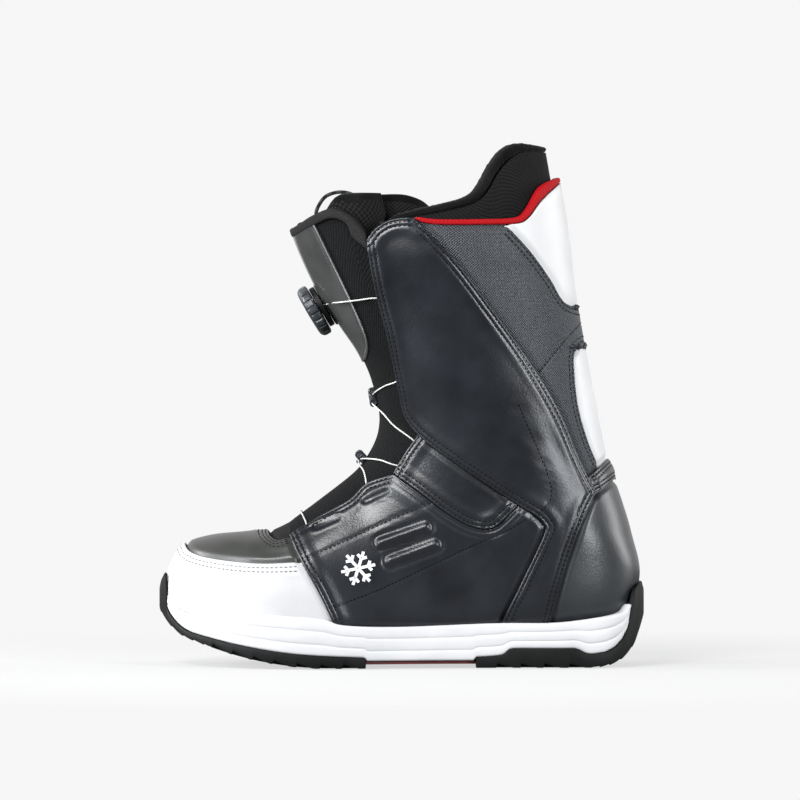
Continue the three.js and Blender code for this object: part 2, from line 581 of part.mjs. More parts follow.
function buildLiner() {
  const pad = layer(linerDepth, linerInner);
  const slot = [[-120, 195], [-40, 142], [-18, 153], [6, 168], ...tongueSlot, [-8, 290], [-8, 420], [-120, 420]];
  const slotSolid = sidePrism(slot);
  const sides = pad.subtract(slotSolid);
  const below = [[-170, 17], ...fleeceEdge, [170, 328], [170, 17]];
  const shellPart = sides.intersect(sidePrism(inset(below)));
  addMesh('liner_shell', largestPiece(shellPart), knit);
  const lip = [...fleeceEdge, ...reversed(linerEdge)];
  addMesh('liner_collar', largestPiece(sides.intersect(sidePrism(inset(lip)))), fleece);
  const tongueTop = [[-61, 283], [-50.5, 288], [-47, 297], [-42, 299], [-12, 298.5], [-9.5, 290]];
  const tongue = [[-120, 190], [-40, 146], [-18.3, 154.5], [-2, 172], ...shifted(tongueSlot, -3, 0),
    ...reversed(tongueTop), [-74, 276], [-120, 274]];
  const tongueSolid = layer(linerDepth, linerInner).intersect(sidePrism(inset(tongue)));
  addMesh('liner_tongue', largestPiece(tongueSolid), fleece);
  const bed = bodyInside(insideLiner).intersect(sidePrism([[-170, 0], [-170, 36], [-60, 36], [20, 37],
    [80, 40], [170, 42], [170, 0]]));
  addMesh('footbed', largestPiece(bed), foam);
}

// A webbing loop sewn to the inner face of the liner's tongue, with its ends together.
function buildLoop() {
  const width = 18;
  const webbing = 1.7;
  const outer = curve([[-56, 268], [-55.8, 287], [-54, 294], [-49, 300.5], [-41, 303.3], [-33, 302.6],
    [-27.5, 299], [-29, 292], [-38, 281], [-49, 268]]);
  const ring = sidePrism(outer, -width / 2, width / 2).subtract(sidePrism(inset(outer, webbing)));
  addMesh('pull_loop', largestPiece(ring.intersect(bodyInside(insideLiner))), knit);
}

buildSole();
buildUpper();
buildInner();
buildTongue();
buildLace();
buildDial();
buildLiner();
buildLoop();

export default boot;
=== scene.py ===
import bmesh
import bpy
import math
import numpy as np
from mathutils import Matrix, Vector, noise
from mathutils.bvhtree import BVHTree


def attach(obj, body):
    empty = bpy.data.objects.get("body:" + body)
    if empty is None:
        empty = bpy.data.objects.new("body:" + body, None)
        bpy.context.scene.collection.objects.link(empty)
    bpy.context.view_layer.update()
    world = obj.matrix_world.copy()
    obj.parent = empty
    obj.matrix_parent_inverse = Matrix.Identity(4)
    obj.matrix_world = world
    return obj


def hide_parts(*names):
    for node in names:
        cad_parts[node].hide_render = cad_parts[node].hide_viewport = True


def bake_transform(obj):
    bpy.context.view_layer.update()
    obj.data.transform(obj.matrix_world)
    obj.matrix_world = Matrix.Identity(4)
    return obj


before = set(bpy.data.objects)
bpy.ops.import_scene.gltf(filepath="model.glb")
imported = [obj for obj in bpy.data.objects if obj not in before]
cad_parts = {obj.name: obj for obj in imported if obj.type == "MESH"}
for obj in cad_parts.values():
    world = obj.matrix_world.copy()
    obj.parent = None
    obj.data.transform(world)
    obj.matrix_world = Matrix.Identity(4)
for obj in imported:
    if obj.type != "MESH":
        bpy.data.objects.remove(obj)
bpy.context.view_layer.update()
mm = 0.001  # the boot is drawn in millimetres and stored in metres

# camera, light and floor
view = {"distance": 5.2, "elevation": 1.2, "width": 0.512, "aimX": -0.00096, "aimZ": 0.1693}
backdrop = [("backPaper", (0, 1.7, 1.0), 0, (4.4, 3.0)), ("leftPaper", (-2.2, 0.75, 1.0), 75, (2.0, 3.0)),
            ("rightPaper", (2.2, 0.75, 1.0), -75, (2.0, 3.0))]
stageTones = {"paper": 0.928, "room": 0.10, "floor": 0.52, "glow": 0.66, "bounce": 0.13, "floorRadius": 6.0,
              "fadeFrom": 0.22, "fadeTo": 0.5}
# name, place, aim, size, power and tone of each lamp
lamps = [("softKey", (-0.7, -1.5, 1.5), (0, 0, 0.12), (0.8, 0.6), 46, (1, 1, 1)),
         ("softLeft", (-1.35, -1.15, 0.6), (0, 0, 0.15), (0.35, 0.9), 30, (.93, .96, 1)),
         ("edgeLeft", (-1.7, 0.0, 0.6), (0, 0, 0.2), (0.5, 1.0), 40, (1, 1, 1)),
         ("edgeRight", (1.6, 0.3, 0.5), (0, 0, 0.2), (0.5, 1.0), 14, (1, 1, 1)),
         ("softRight", (1.35, -1.35, 0.55), (0, 0, 0.15), (0.35, 1.1), 32, (.93, .96, 1))]


def makeCamera():
    data = bpy.data.cameras.new("camera")
    camera = bpy.data.objects.new("camera", data)
    bpy.context.collection.objects.link(camera)
    tilt = math.radians(view["elevation"])
    camera.location = (view["aimX"], -view["distance"] * math.cos(tilt),
                       view["aimZ"] + view["distance"] * math.sin(tilt))
    camera.rotation_euler = (math.pi / 2 - tilt, 0, 0)
    data.sensor_width = 36
    data.lens = 36 * view["distance"] / view["width"]
    data.clip_start, data.clip_end = 0.1, 50
    bpy.context.scene.camera = camera


def areaLight(name, place, aim, size, power, tone):
    data = bpy.data.lights.new(name, "AREA")
    data.shape, data.size, data.size_y = "RECTANGLE", size[0], size[1]
    data.energy, data.color = power, tone
    lamp = bpy.data.objects.new(name, data)
    bpy.context.collection.objects.link(lamp)
    lamp.location = place
    lamp.rotation_euler = (Vector(aim) - Vector(place)).to_track_quat("-Z", "Y").to_euler()
    return lamp


def makeStage():
    world = bpy.data.worlds.new("studio")
    bpy.context.scene.world = world
    world.use_nodes = True
    tree = world.node_tree
    room, paperTone = tree.nodes["Background"], tree.nodes.new("ShaderNodeBackground")
    room.inputs["Color"].default_value = (*[stageTones["room"]] * 3, 1)
    paperTone.inputs["Color"].default_value = (*[stageTones["paper"]] * 3, 1)
    rays, choose = tree.nodes.new("ShaderNodeLightPath"), tree.nodes.new("ShaderNodeMixShader")
    tree.links.new(rays.outputs["Is Camera Ray"], choose.inputs["Fac"])
    tree.links.new(room.outputs[0], choose.inputs[1])
    tree.links.new(paperTone.outputs[0], choose.inputs[2])
    tree.links.new(choose.outputs[0], tree.nodes["World Output"].inputs["Surface"])
    bpy.context.scene.view_settings.view_transform = "Standard"
    bm = bmesh.new()
    bmesh.ops.create_circle(bm, cap_ends=True, segments=96, radius=stageTones["floorRadius"])
    bmesh.ops.translate(bm, verts=bm.verts, vec=(0, 0, -0.0004))
    floor = toObject("floor", bm)
    material = bpy.data.materials.new("floorPaper")
    material.use_nodes = True
    nodes, links = material.node_tree.nodes, material.node_tree.links
    nodes.clear()
    place = nodes.new("ShaderNodeTexCoord")
    reach = nodes.new("ShaderNodeVectorMath")
    reach.operation = "LENGTH"
    fade = nodes.new("ShaderNodeMapRange")
    fade.inputs["From Min"].default_value = stageTones["fadeFrom"]
    fade.inputs["From Max"].default_value = stageTones["fadeTo"]
    fade.inputs["To Min"].default_value = stageTones["glow"]
    paper, glow = nodes.new("ShaderNodeBsdfDiffuse"), nodes.new("ShaderNodeEmission")
    paper.inputs["Color"].default_value = (*[stageTones["floor"]] * 3, 1)
    glow.inputs["Color"].default_value = (*[stageTones["paper"]] * 3, 1)
    # the floor shines less on the boot than it does towards the camera
    rays, dimmer = nodes.new("ShaderNodeLightPath"), nodes.new("ShaderNodeMapRange")
    dimmer.inputs["To Min"].default_value = stageTones["bounce"]
    links.new(rays.outputs["Is Camera Ray"], dimmer.inputs["Value"])
    links.new(dimmer.outputs["Result"], glow.inputs["Strength"])
    mix, out = nodes.new("ShaderNodeMixShader"), nodes.new("ShaderNodeOutputMaterial")
    links.new(place.outputs["Object"], reach.inputs[0])
    links.new(reach.outputs["Value"], fade.inputs["Value"])
    links.new(fade.outputs["Result"], mix.inputs["Fac"])
    links.new(paper.outputs[0], mix.inputs[1])
    links.new(glow.outputs[0], mix.inputs[2])
    links.new(mix.outputs[0], out.inputs[0])
    floor.data.materials.append(material)
    paperGlow = bpy.data.materials.new("paperGlow")
    paperGlow.use_nodes = True
    paperGlow.node_tree.nodes.clear()
    shine, away = paperGlow.node_tree.nodes.new("ShaderNodeEmission"), \
        paperGlow.node_tree.nodes.new("ShaderNodeOutputMaterial")
    shine.inputs["Color"].default_value = (*[stageTones["paper"]] * 3, 1)
    paperGlow.node_tree.links.new(shine.outputs[0], away.inputs[0])
    for name, place, turn, size in backdrop:
        bm = bmesh.new()
        bmesh.ops.create_grid(bm, x_segments=1, y_segments=1, size=0.5)
        bmesh.ops.scale(bm, vec=(*size, 1), verts=bm.verts)
        bmesh.ops.rotate(bm, verts=bm.verts, matrix=Matrix.Rotation(math.pi / 2, 3, "X"))
        bmesh.ops.rotate(bm, verts=bm.verts, matrix=Matrix.Rotation(math.radians(turn), 3, "Z"))
        bmesh.ops.translate(bm, verts=bm.verts, vec=place)
        sheet = toObject(name, bm)
        sheet.data.materials.append(paperGlow)
        sheet.visible_camera = False
    for lamp in lamps:
        areaLight(*lamp)


def toObject(name, bm):
    mesh = bpy.data.meshes.new(name)
    bm.to_mesh(mesh)
    bm.free()
    obj = bpy.data.objects.new(name, mesh)
    bpy.context.collection.objects.link(obj)
    return obj


# the skin of the boot: sections from the toe tip to the shaft top
# front x, front z, back x, back z, half width, widest place, front and back fullness, sideways shift
sections = np.array([
    [-150.5, 52, -150.5, 43, 6, .5, 2, 2, 8], [-148.5, 63, -148.5, 32, 19, .55, 2.2, 2.5, 8],
    [-143.5, 72.5, -143, 25, 29, .6, 2.3, 3.5, 7.5], [-135, 79, -134, 22, 37.5, .62, 2.4, 4.5, 7],
    [-119, 83, -117, 21, 46, .65, 2.3, 5, 5], [-100, 85, -97, 21, 51.5, .68, 2.3, 5, 2],
    [-82, 87, -76, 21, 54.5, .7, 2.2, 5, 0], [-65.2, 99, -55, 21, 54.5, .72, 2.1, 5, 0],
    [-41, 117, -30, 21, 51.5, .74, 2.1, 5, .5], [-28, 128.5, 0, 21, 49, .72, 2.1, 5, 1],
    [-21, 139, 35, 21, 47.5, .66, 2.2, 5, 1.5], [-17.2, 148, 75, 21, 47, .6, 2.3, 4.5, 1.8],
    [-16, 156, 112, 22, 47, .56, 2.4, 3.6, 2], [-16.3, 163, 142, 29, 48, .52, 2.5, 2.6, 2],
    [-18, 171, 151.8, 57, 49, .5, 2.5, 2.3, 1.8], [-20.5, 180, 146.5, 85, 50, .5, 2.5, 2.2, 1.5],
    [-24, 190, 138.5, 112, 51, .5, 2.5, 2.2, 1], [-30, 202, 131, 135, 52, .5, 2.4, 2.2, .5],
    [-41, 218, 124, 168, 53, .5, 2.4, 2.2, 0], [-55, 240, 117, 206, 53.5, .5, 2.4, 2.2, 0],
    [-66, 263, 111, 243, 54, .5, 2.3, 2.2, 0], [-72.5, 280, 107, 275, 54.5, .5, 2.3, 2.2, 0],
    [-80, 299, 101, 312, 55, .5, 2.3, 2.2, 0], [-84, 309, 96, 340, 55, .5, 2.3, 2.2, 0]])
lastSection = len(sections) - 1
toeSections, slimmest = 4, 2.0


def blendRows(table, place):
    # a smooth curve through the rows of a table, at fractional row numbers
    last = len(table) - 1
    place = np.clip(place, 0, last)
    i = np.minimum(place.astype(int), last - 1)
    t = (place - i)[:, None]
    before, a = table[np.maximum(i - 1, 0)], table[i]
    b, after = table[i + 1], table[np.minimum(i + 2, last)]
    m, n = (b - before) / 2, (after - a) / 2
    return (2 * a - 2 * b + m + n) * t ** 3 + (3 * b - 3 * a - 2 * m - n) * t ** 2 + m * t + a


def spline(points, per=8):
    points = np.array(points, float)
    return blendRows(points, np.linspace(0, len(points) - 1, (len(points) - 1) * per + 1))


def sectionAt(v, depth):
    fx, fz, bx, bz, half, wide, fullFront, fullBack, shift = blendRows(sections, v * lastSection).T
    length = np.hypot(bx - fx, bz - fz)
    ax, az = (bx - fx) / length, (bz - fz) / length
    tip = np.maximum(0, 1 - v * lastSection / toeSections)
    cx, cz = fx + ax * length * wide + depth * tip, fz + az * length * wide
    toFront = np.maximum(slimmest, length * wide - depth)
    toBack = np.maximum(slimmest, length * (1 - wide) - depth)
    return ax, az, cx, cz, np.maximum(slimmest, half - depth), toFront, toBack, fullFront, fullBack, shift


def skin(v, angle, depth=0.0):
    v, angle, depth = np.broadcast_arrays(v, angle, depth)
    shape = v.shape
    v, angle, depth = v.ravel(), angle.ravel(), depth.ravel()
    ax, az, cx, cz, half, toFront, toBack, fullFront, fullBack, shift = sectionAt(v, depth)
    c, s = np.cos(angle), np.sin(angle)
    p = np.where(c > 0, fullFront, fullBack)
    r = 1 / (np.abs(c) ** p + np.abs(s) ** p) ** (1 / p)
    run = -c * r * np.where(c > 0, toFront, toBack)
    points = np.stack([cx + ax * run, shift + s * r * half, cz + az * run], 1)
    return points.reshape(*shape, 3)


def normals(v, angle):
    step = 2e-3
    low, high = np.clip(v - step, 0.002, 1), np.clip(v + step, 0.002, 1)
    alongV = skin(high, angle) - skin(low, angle)
    alongAngle = skin(v, angle + step) - skin(v, angle - step)
    n = np.cross(alongV, alongAngle)
    return n / np.maximum(np.linalg.norm(n, axis=-1, keepdims=True), 1e-9)


searchV = np.linspace(0, 1, 1401)
searchRows = blendRows(sections, searchV * lastSection)


def locate(points, side):
    # where side-view points x, z lie on the skin: v along the boot and the angle round it
    x, z = np.asarray(points, float).T[:2]
    fx, fz, bx, bz = searchRows[:, :4].T
    dx, dz = bx - fx, bz - fz
    length = np.hypot(dx, dz)
    across = (dx * (z[:, None] - fz) - dz * (x[:, None] - fx)) / length
    part = (dx * (x[:, None] - fx) + dz * (z[:, None] - fz)) / length ** 2
    beyond = np.maximum(0, np.abs(part - 0.5) - 0.5) * length
    best = np.argmin(np.abs(across) + 3 * beyond, axis=1)
    low, high = np.maximum(best - 1, 0), np.minimum(best + 1, len(searchV) - 1)
    rows = np.arange(len(x))
    a, b = across[rows, low], across[rows, high]
    t = np.where(a * b < 0, a / np.where(a == b, 1, a - b), 0.5)
    v = searchV[low] + (searchV[high] - searchV[low]) * np.clip(t, 0, 1)
    v = np.where(a * b < 0, v, searchV[best])
    ax, az, cx, cz, _, toFront, toBack, fullFront, fullBack, _ = sectionAt(v, np.zeros_like(v))
    run = (x - cx) * ax + (z - cz) * az
    share = np.clip(np.where(run < 0, run / toFront, run / toBack), -1, 1)
    p = np.where(run < 0, fullFront, fullBack)
    height = np.maximum(0, 1 - np.abs(share) ** p) ** (1 / p)
    return v, np.arctan2(height, -share) * side


def makeSkinTree():
    v, angle = np.meshgrid(np.linspace(0.002, 1, 320), np.linspace(-math.pi, math.pi, 193), indexing="ij")
    points = skin(v, angle)
    count = points.shape[1]
    i, j = np.meshgrid(np.arange(points.shape[0] - 1), np.arange(count - 1), indexing="ij")
    a = (i * count + j).ravel()
    faces = np.stack([a, a + 1, a + count + 1, a + count], 1)
    tree = BVHTree.FromPolygons(points.reshape(-1, 3).tolist(), faces.tolist())
    return tree, v.ravel(), angle.ravel(), faces


skinTree, treeV, treeAngle, treeFaces = makeSkinTree()
outward = 1.0
if (normals(np.array([0.9]), np.array([math.pi / 2]))[0, 1]) < 0:
    outward = -1.0


def ground(points):
    # the skin's v and angle nearest to each point
    flat = np.asarray(points, float).reshape(-1, 3)
    first = [skinTree.find_nearest(p)[2] for p in flat.tolist()]
    corner = treeFaces[first][:, 0]
    v, angle = treeV[corner] + 0.0015, treeAngle[corner] + 0.016
    for _ in range(5):
        here, step = skin(v, angle), 1e-4
        dv = (skin(np.clip(v + step, 0, 1), angle) - here) / step
        da = (skin(v, angle + step) - here) / step
        gap = flat - here
        vv, va, aa = (dv * dv).sum(1), (dv * da).sum(1), (da * da).sum(1)
        gv, ga = (dv * gap).sum(1), (da * gap).sum(1)
        det = vv * aa - va * va + 1e-6 * vv * aa + 1e-9
        v = np.clip(v + np.clip((gv * aa - ga * va) / det, -.01, .01), 0.001, 1)
        angle = angle + np.clip((ga * vv - gv * va) / det, -.08, .08)
    return v.reshape(points.shape[:-1]), angle.reshape(points.shape[:-1])


def lifted(v, angle, height):
    # a point of the skin, raised by a height along its normal
    return skin(v, angle) + outward * normals(v, angle) * np.asarray(height)[..., None]


# seam lines, seen from the side
seams = {name: spline(points) for name, points in {
    "vampEdge": [[-139, 78], [-135, 73], [-124, 69.5], [-103, 67], [-85, 66.3], [-64, 67.5]],
    "quarterFront": [[-71, 83.6], [-64.3, 69], [-52, 47], [-41, 23.5]],
    "throatEdge": [[-85.5, 86], [-83.2, 82.6], [-78, 80.5], [-71, 83.6]],
    "eyestay": [[-71, 83.6], [-54, 95], [-34, 106], [-22, 117], [-5, 123], [7, 143], [10, 148]],
    "eyestayLow": [[-71, 83.6], [-54, 95], [-34, 106], [-22, 117], [-5, 123]],
    "eyestayHigh": [[-5, 123], [1, 134], [7, 143], [10, 148]],
    "cuffFront": [[10, 148], [2, 159], [-2, 176], [-9, 209], [-16, 236], [-20, 258], [-22, 272]],
    "cuffTop": [[-22, 272], [-17, 279], [-8, 284.5], [5, 286], [11, 283]],
    "ankleLine": [[10, 148], [20, 140], [43, 124], [74, 103.5], [84, 97.5], [90, 92], [90.5, 85], [76, 54],
                  [61, 24]],
    "ankleToPatch": [[10, 148], [20, 140], [43, 124], [74, 103.5]],
    "patchToSole": [[74, 103.5], [84, 97.5], [90, 92], [90.5, 85], [76, 54], [61, 24]],
    "patchEdge": [[-5, 123], [13, 110], [29, 98], [45, 89.5], [58, 89], [68, 97], [74, 103.5]],
    "rearSeam": [[11, 283], [33, 260], [56, 230], [83, 192], [100, 163], [111, 137], [118.5, 121], [124, 111]],
    "rearEdge": [[67, 281], [82, 265], [95, 247], [104, 232.5], [116, 228]],
    "windowEdge": [[119, 206.5], [111, 201], [110.5, 186], [113, 165], [119, 144], [126, 127.5]],
    "counterFront": [[124, 111], [117, 98], [105, 66], [93.5, 24]],
    "trimTop": [[7, 287], [22, 285], [50, 285], [73, 286], [81, 291.5], [90, 305.5], [103, 312]],
    "trimLow": [[9, 284], [22, 281.5], [50, 281.3], [73, 282], [81, 285.5], [90, 297], [103, 309]],
    "linerEdge": [[-17, 280], [-8, 287], [7, 291], [25, 294.5], [44, 299.5], [53, 306.5], [63, 321.5],
                  [72, 331], [82, 334.4], [98, 332]],
    "fleeceEdge": [[-16, 276], [-6, 283], [9, 286.5], [26, 289.5], [46, 294], [57, 301], [66, 315],
                   [75, 324.5], [84, 328.5], [100, 328]],
    "bindingOuter": [[-73, 279], [-71.4, 279.8], [-66, 283], [-58, 287.8], [-46, 291.8], [-34, 287.5],
                     [-25, 278], [-22.5, 272], [-21.3, 266]],
    "bindingInner": [[-71, 273.4], [-69.4, 274.2], [-63, 277.6], [-57, 281], [-46, 285.4], [-37, 282.5],
                     [-32.5, 274], [-27.5, 269.3], [-21.8, 265]],
    "shieldEdge": [[-57, 282], [-40, 247], [-29, 223], [-23, 206], [-25.5, 194]],
    "cuffInnerLine": [[115, 219], [105, 209], [89, 190], [76, 175], [74, 168], [83, 147], [92, 125], [95, 112],
                      [92, 103], [81, 96], [63, 85], [50, 80], [20, 66], [-12, 51], [-32, 43], [-47, 37]],
    "eyestayLine": [[-62, 69], [-33, 82], [-7, 94], [23, 106.5]],
}.items()}


def onSide(line, side, close=None):
    # a seam's points on the skin; close puts its last point on the centre line, at 0 or at pi
    v, angle = locate(line, side)
    if close is not None:
        reached = np.abs(np.abs(angle) - close) < 0.06
        last = int(np.argmax(reached)) if reached.any() else len(v) - 1
        v, angle = v[:last + 1], angle[:last + 1]
        angle[-1] = close * side
    return skin(v, angle)


def acrossFront(line, close=0):
    # from the lateral side over the centre line to the medial side; the line ends at the centre
    lateral, medial = onSide(line, -1, close), onSide(line, 1, close)
    return np.concatenate([lateral, medial[::-1][1:]])


def lengths(line):
    return np.concatenate([[0], np.cumsum(np.linalg.norm(np.diff(line, axis=0), axis=1))])


def resample(line, share):
    # points at shares of a line's length; outside 0 to 1 it runs straight on
    run = lengths(line)
    if run[-1] < 1e-6:
        return np.repeat(line[:1], len(share), 0)
    at = np.asarray(share) * run[-1]
    points = np.stack([np.interp(at, run, line[:, k]) for k in range(line.shape[1])], 1)
    few = min(3, len(line) - 1)
    start = (line[0] - line[few]) / max(np.linalg.norm(line[0] - line[few]), 1e-9)
    end = (line[-1] - line[-1 - few]) / max(np.linalg.norm(line[-1] - line[-1 - few]), 1e-9)
    points += np.maximum(0, -at)[:, None] * start + np.maximum(0, at - run[-1])[:, None] * end
    return points


def coons(top, bottom, left, right, us, ws):
    t, b = resample(top, us)[None], resample(bottom, us)[None]
    l, r = resample(left, ws)[:, None], resample(right, ws)[:, None]
    u, w = us[None, :, None], ws[:, None, None]
    corners = (1 - w) * ((1 - u) * top[0] + u * top[-1]) + w * ((1 - u) * bottom[0] + u * bottom[-1])
    return (1 - w) * t + w * b + (1 - u) * l + u * r - corners


fineRows = {"over": [0, .3, .7, 1.1, 1.6, 2.1, 2.6, 3.1, 3.6, 4.1, 4.6, 5.1, 5.7, 6.5, 7.5],
            "free": [0, .3, .7, 1.2, 1.8, 2.5, 3.2, 4, 5, 6, 7.5],
            "under": [-4, -2.4, -1.2, -.3, .4, 1.1, 1.8, 2.6, 3.4, 4.3, 5.4, 6.5, 7.5],
            "plain": [0, 1.5, 3, 4.5, 6, 7.5]}


def spread(length, start, end, step):
    # stations across a panel, close together where an edge or a stitch row needs them
    room = min(7.5, length * 0.42)
    near = np.array(fineRows[start]) * room / 7.5
    far = length - np.array(fineRows[end])[::-1] * room / 7.5
    inner = np.linspace(near[-1], far[0], max(2, int(round((far[0] - near[-1]) / step)) + 1))[1:-1]
    return np.concatenate([near, inner, far]) / length


def smooth(x, low, high):
    t = np.clip((x - low) / (high - low), 0, 1)
    return t * t * (3 - 2 * t)


def distanceTo(points, line):
    # how far each point is from a line
    flat = points.reshape(-1, 3)
    dense = resample(line, np.linspace(0, 1, max(2, int(lengths(line)[-1] / 1.0))))
    a, d = dense[:-1], dense[1:] - dense[:-1]
    size = np.maximum((d * d).sum(1), 1e-9)
    best = np.full(len(flat), 1e9)
    for start in range(0, len(flat), 4000):
        p = flat[start:start + 4000]
        t = np.clip(((p[:, None] - a) * d).sum(2) / size, 0, 1)
        gap = p[:, None] - a - t[..., None] * d
        best[start:start + 4000] = np.sqrt((gap * gap).sum(2).min(1))
    return best.reshape(points.shape[:-1])


edge = {"lip": 1.1, "lift": 0.85, "sink": 1.5, "groove": 0.45, "grooveWidth": 0.8, "rows": (2.0, 5.0)}


def edgeHeight(kind, d, rows):
    if kind == "plain":
        return 0 * d
    if kind == "under":
        return -edge["sink"] * (1 - smooth(d, 0.2, 4.5))
    near = np.clip(d / edge["lip"], 0, 1)
    rounding = -edge["lip"] * (1 - np.sqrt(1 - (1 - near) ** 2))
    height = rounding + (edge["lift"] * (1 - smooth(d, 6, 13)) if kind == "over" else 0)
    for row in rows:
        height = height - edge["groove"] * np.exp(-((d - row) / edge["grooveWidth"]) ** 2)
    return height


def gridMesh(name, points, sizeU, sizeW):
    # a grid of points in millimetres as a sheet, with a UV map in metres
    rows, columns = points.shape[:2]
    bm = bmesh.new()
    bmesh.ops.create_grid(bm, x_segments=columns - 1, y_segments=rows - 1, size=0.5)
    mesh = bpy.data.meshes.new(name)
    bm.to_mesh(mesh)
    bm.free()
    start = np.empty(len(mesh.vertices) * 3)
    mesh.vertices.foreach_get("co", start)
    start = start.reshape(-1, 3)
    column = np.rint((start[:, 0] + .5) * (columns - 1)).astype(int)
    row = np.rint((start[:, 1] + .5) * (rows - 1)).astype(int)
    mesh.vertices.foreach_set("co", (points[row, column] * mm).ravel())
    corners = np.empty(len(mesh.loops), int)
    mesh.loops.foreach_get("vertex_index", corners)
    sizeU, sizeW = np.broadcast_to(sizeU, (columns,)), np.broadcast_to(sizeW, (rows,))
    uv = np.stack([sizeU[column[corners]], sizeW[row[corners]]], 1) * mm
    mesh.uv_layers.new(name="sewn").data.foreach_set("uv", uv.ravel())
    mesh.polygons.foreach_set("use_smooth", np.ones(len(mesh.polygons), bool))
    obj = bpy.data.objects.new(name, mesh)
    bpy.context.collection.objects.link(obj)
    return obj


def mend(obj, doubles=2e-6, caps=False, recalc=False):
    # merge doubled points, close open ends, turn the faces outwards
    bm = bmesh.new()
    bm.from_mesh(obj.data)
    bmesh.ops.remove_doubles(bm, verts=bm.verts, dist=doubles)
    bmesh.ops.dissolve_degenerate(bm, edges=bm.edges, dist=1e-7)
    if caps:
        bmesh.ops.holes_fill(bm, edges=[e for e in bm.edges if e.is_boundary], sides=0)
    if recalc:
        bmesh.ops.recalc_face_normals(bm, faces=bm.faces)
    bm.to_mesh(obj.data)
    bm.free()
    obj.data.polygons.foreach_set("use_smooth", np.ones(len(obj.data.polygons), bool))
    return obj


def faceOut(obj):
    # turn an open sheet's faces away from the inside of the boot
    mesh = obj.data
    count = len(mesh.polygons)
    where, way = np.empty(count * 3), np.empty(count * 3)
    mesh.polygons.foreach_get("center", where)
    mesh.polygons.foreach_get("normal", way)
    v, angle = ground(where.reshape(-1, 3)[::7] / mm)
    if (outward * normals(v, angle) * way.reshape(-1, 3)[::7]).sum() < 0:
        mesh.flip_normals()
    return obj


def thicken(obj, thickness):
    solid = obj.modifiers.new("wall", "SOLIDIFY")
    solid.thickness, solid.offset = thickness * mm, -1
    solid.use_rim = True
    return obj


def finishPiece(obj, material, slot, body, *nodes):
    obj.data.materials.clear()
    obj.data.materials.append(materials[material])
    if body:
        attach(obj, body)
    if nodes:
        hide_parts(*nodes)
    return obj


def ripple(points, size, seed):
    # slow unevenness of stretched leather, from -1 to 1
    flat = points.reshape(-1, 3) / size + seed
    return np.array([noise.noise(Vector(p)) for p in flat.tolist()]).reshape(points.shape[:-1])


panelTrees = {}
panelInfo = {}


def makePanel(name, top, bottom, left, right, kinds, settings, nodes, body="boot"):
    # kinds: how the top, bottom, left and right edges are finished
    rows = settings.get("rows", edge["rows"])
    sizeU = max(lengths(top)[-1], lengths(bottom)[-1])
    sizeW = max(lengths(left)[-1], lengths(right)[-1])
    us = spread(sizeU, kinds[2], kinds[3], settings.get("step", 1.7))
    ws = spread(sizeW, kinds[0], kinds[1], settings.get("step", 1.7))
    v, angle = ground(coons(top, bottom, left, right, us, ws))
    base = skin(v, angle)
    signs = [np.where(ws < 0, -1, 1)[:, None], np.where(ws > 1, -1, 1)[:, None],
             np.where(us < 0, -1, 1)[None], np.where(us > 1, -1, 1)[None]]
    height = np.full(base.shape[:2], float(settings.get("base", 0)))
    nearest = np.full(base.shape[:2], 1e9)
    for line, kind, sign in zip((top, bottom, left, right), kinds, signs):
        if kind == "plain" or lengths(line)[-1] < 1:
            continue
        d = distanceTo(base, line) * sign
        height += edgeHeight(kind, d, rows)
        nearest = np.minimum(nearest, d)
    height += settings.get("puff", 0.5) * (1 - np.exp(-np.maximum(nearest, 0) / 14))
    inside = smooth(nearest, 5, 14)
    height += inside * settings.get("ripple", 0.35) * ripple(base, 26, settings.get("seed", 0.0))
    if "shape" in settings:
        height += settings["shape"](base, inside)
    for line in settings.get("lines", []):
        height -= 0.5 * np.exp(-(distanceTo(base, line) / 0.9) ** 2)
    obj = gridMesh(name, lifted(v, angle, height), us * sizeU, ws * sizeW)
    faceOut(mend(obj))
    panelTrees[name] = BVHTree.FromPolygons([x.co[:] for x in obj.data.vertices],
                                            [p.vertices[:] for p in obj.data.polygons])
    panelInfo[name] = base[len(ws) // 2, len(us) // 2]
    thicken(obj, settings.get("wall", 1.7))
    return finishPiece(obj, settings["material"], settings["slot"], body, *nodes)


# stitches
stitch = {"length": 2.3, "pitch": 3.0, "width": 0.85, "height": 0.6}


def offsetLine(line, distance, toward):
    # a line moved sideways over the skin, towards a point
    line = resample(line, np.linspace(0, 1, max(3, int(lengths(line)[-1] / 1.5))))
    along = np.gradient(line, axis=0)
    v, angle = ground(line)
    side = np.cross(outward * normals(v, angle), along)
    side /= np.maximum(np.linalg.norm(side, axis=1, keepdims=True), 1e-9)
    gaps = ((np.asarray(toward) - line) * side).sum(1)
    sign = 1.0 if np.median(gaps) > 0 else -1.0
    return line + side * distance * sign


def stitchSpots(line, tree, trim=(2, 2), pitch=None):
    # places of the stitches along a line, laid on a panel
    pitch = pitch or stitch["pitch"]
    total = lengths(line)[-1]
    count = max(1, int((total - sum(trim)) / pitch))
    at = (trim[0] + pitch * (np.arange(count) + 0.5)) / total
    points = resample(line, at)
    ahead = resample(line, at + 0.5 / total)
    spots = []
    for point, further in zip(points, ahead):
        near, normal, _, _ = tree.find_nearest(Vector(point * mm), 0.004)
        if near is None:
            continue
        along = Vector((further - point).tolist())
        along -= normal * along.dot(normal)
        if along.length < 1e-6:
            continue
        along.normalize()
        side = normal.cross(along)
        place = Matrix((along, side, normal)).transposed().to_4x4()
        place.translation = near + normal * 0.08 * mm
        spots.append(place)
    return spots


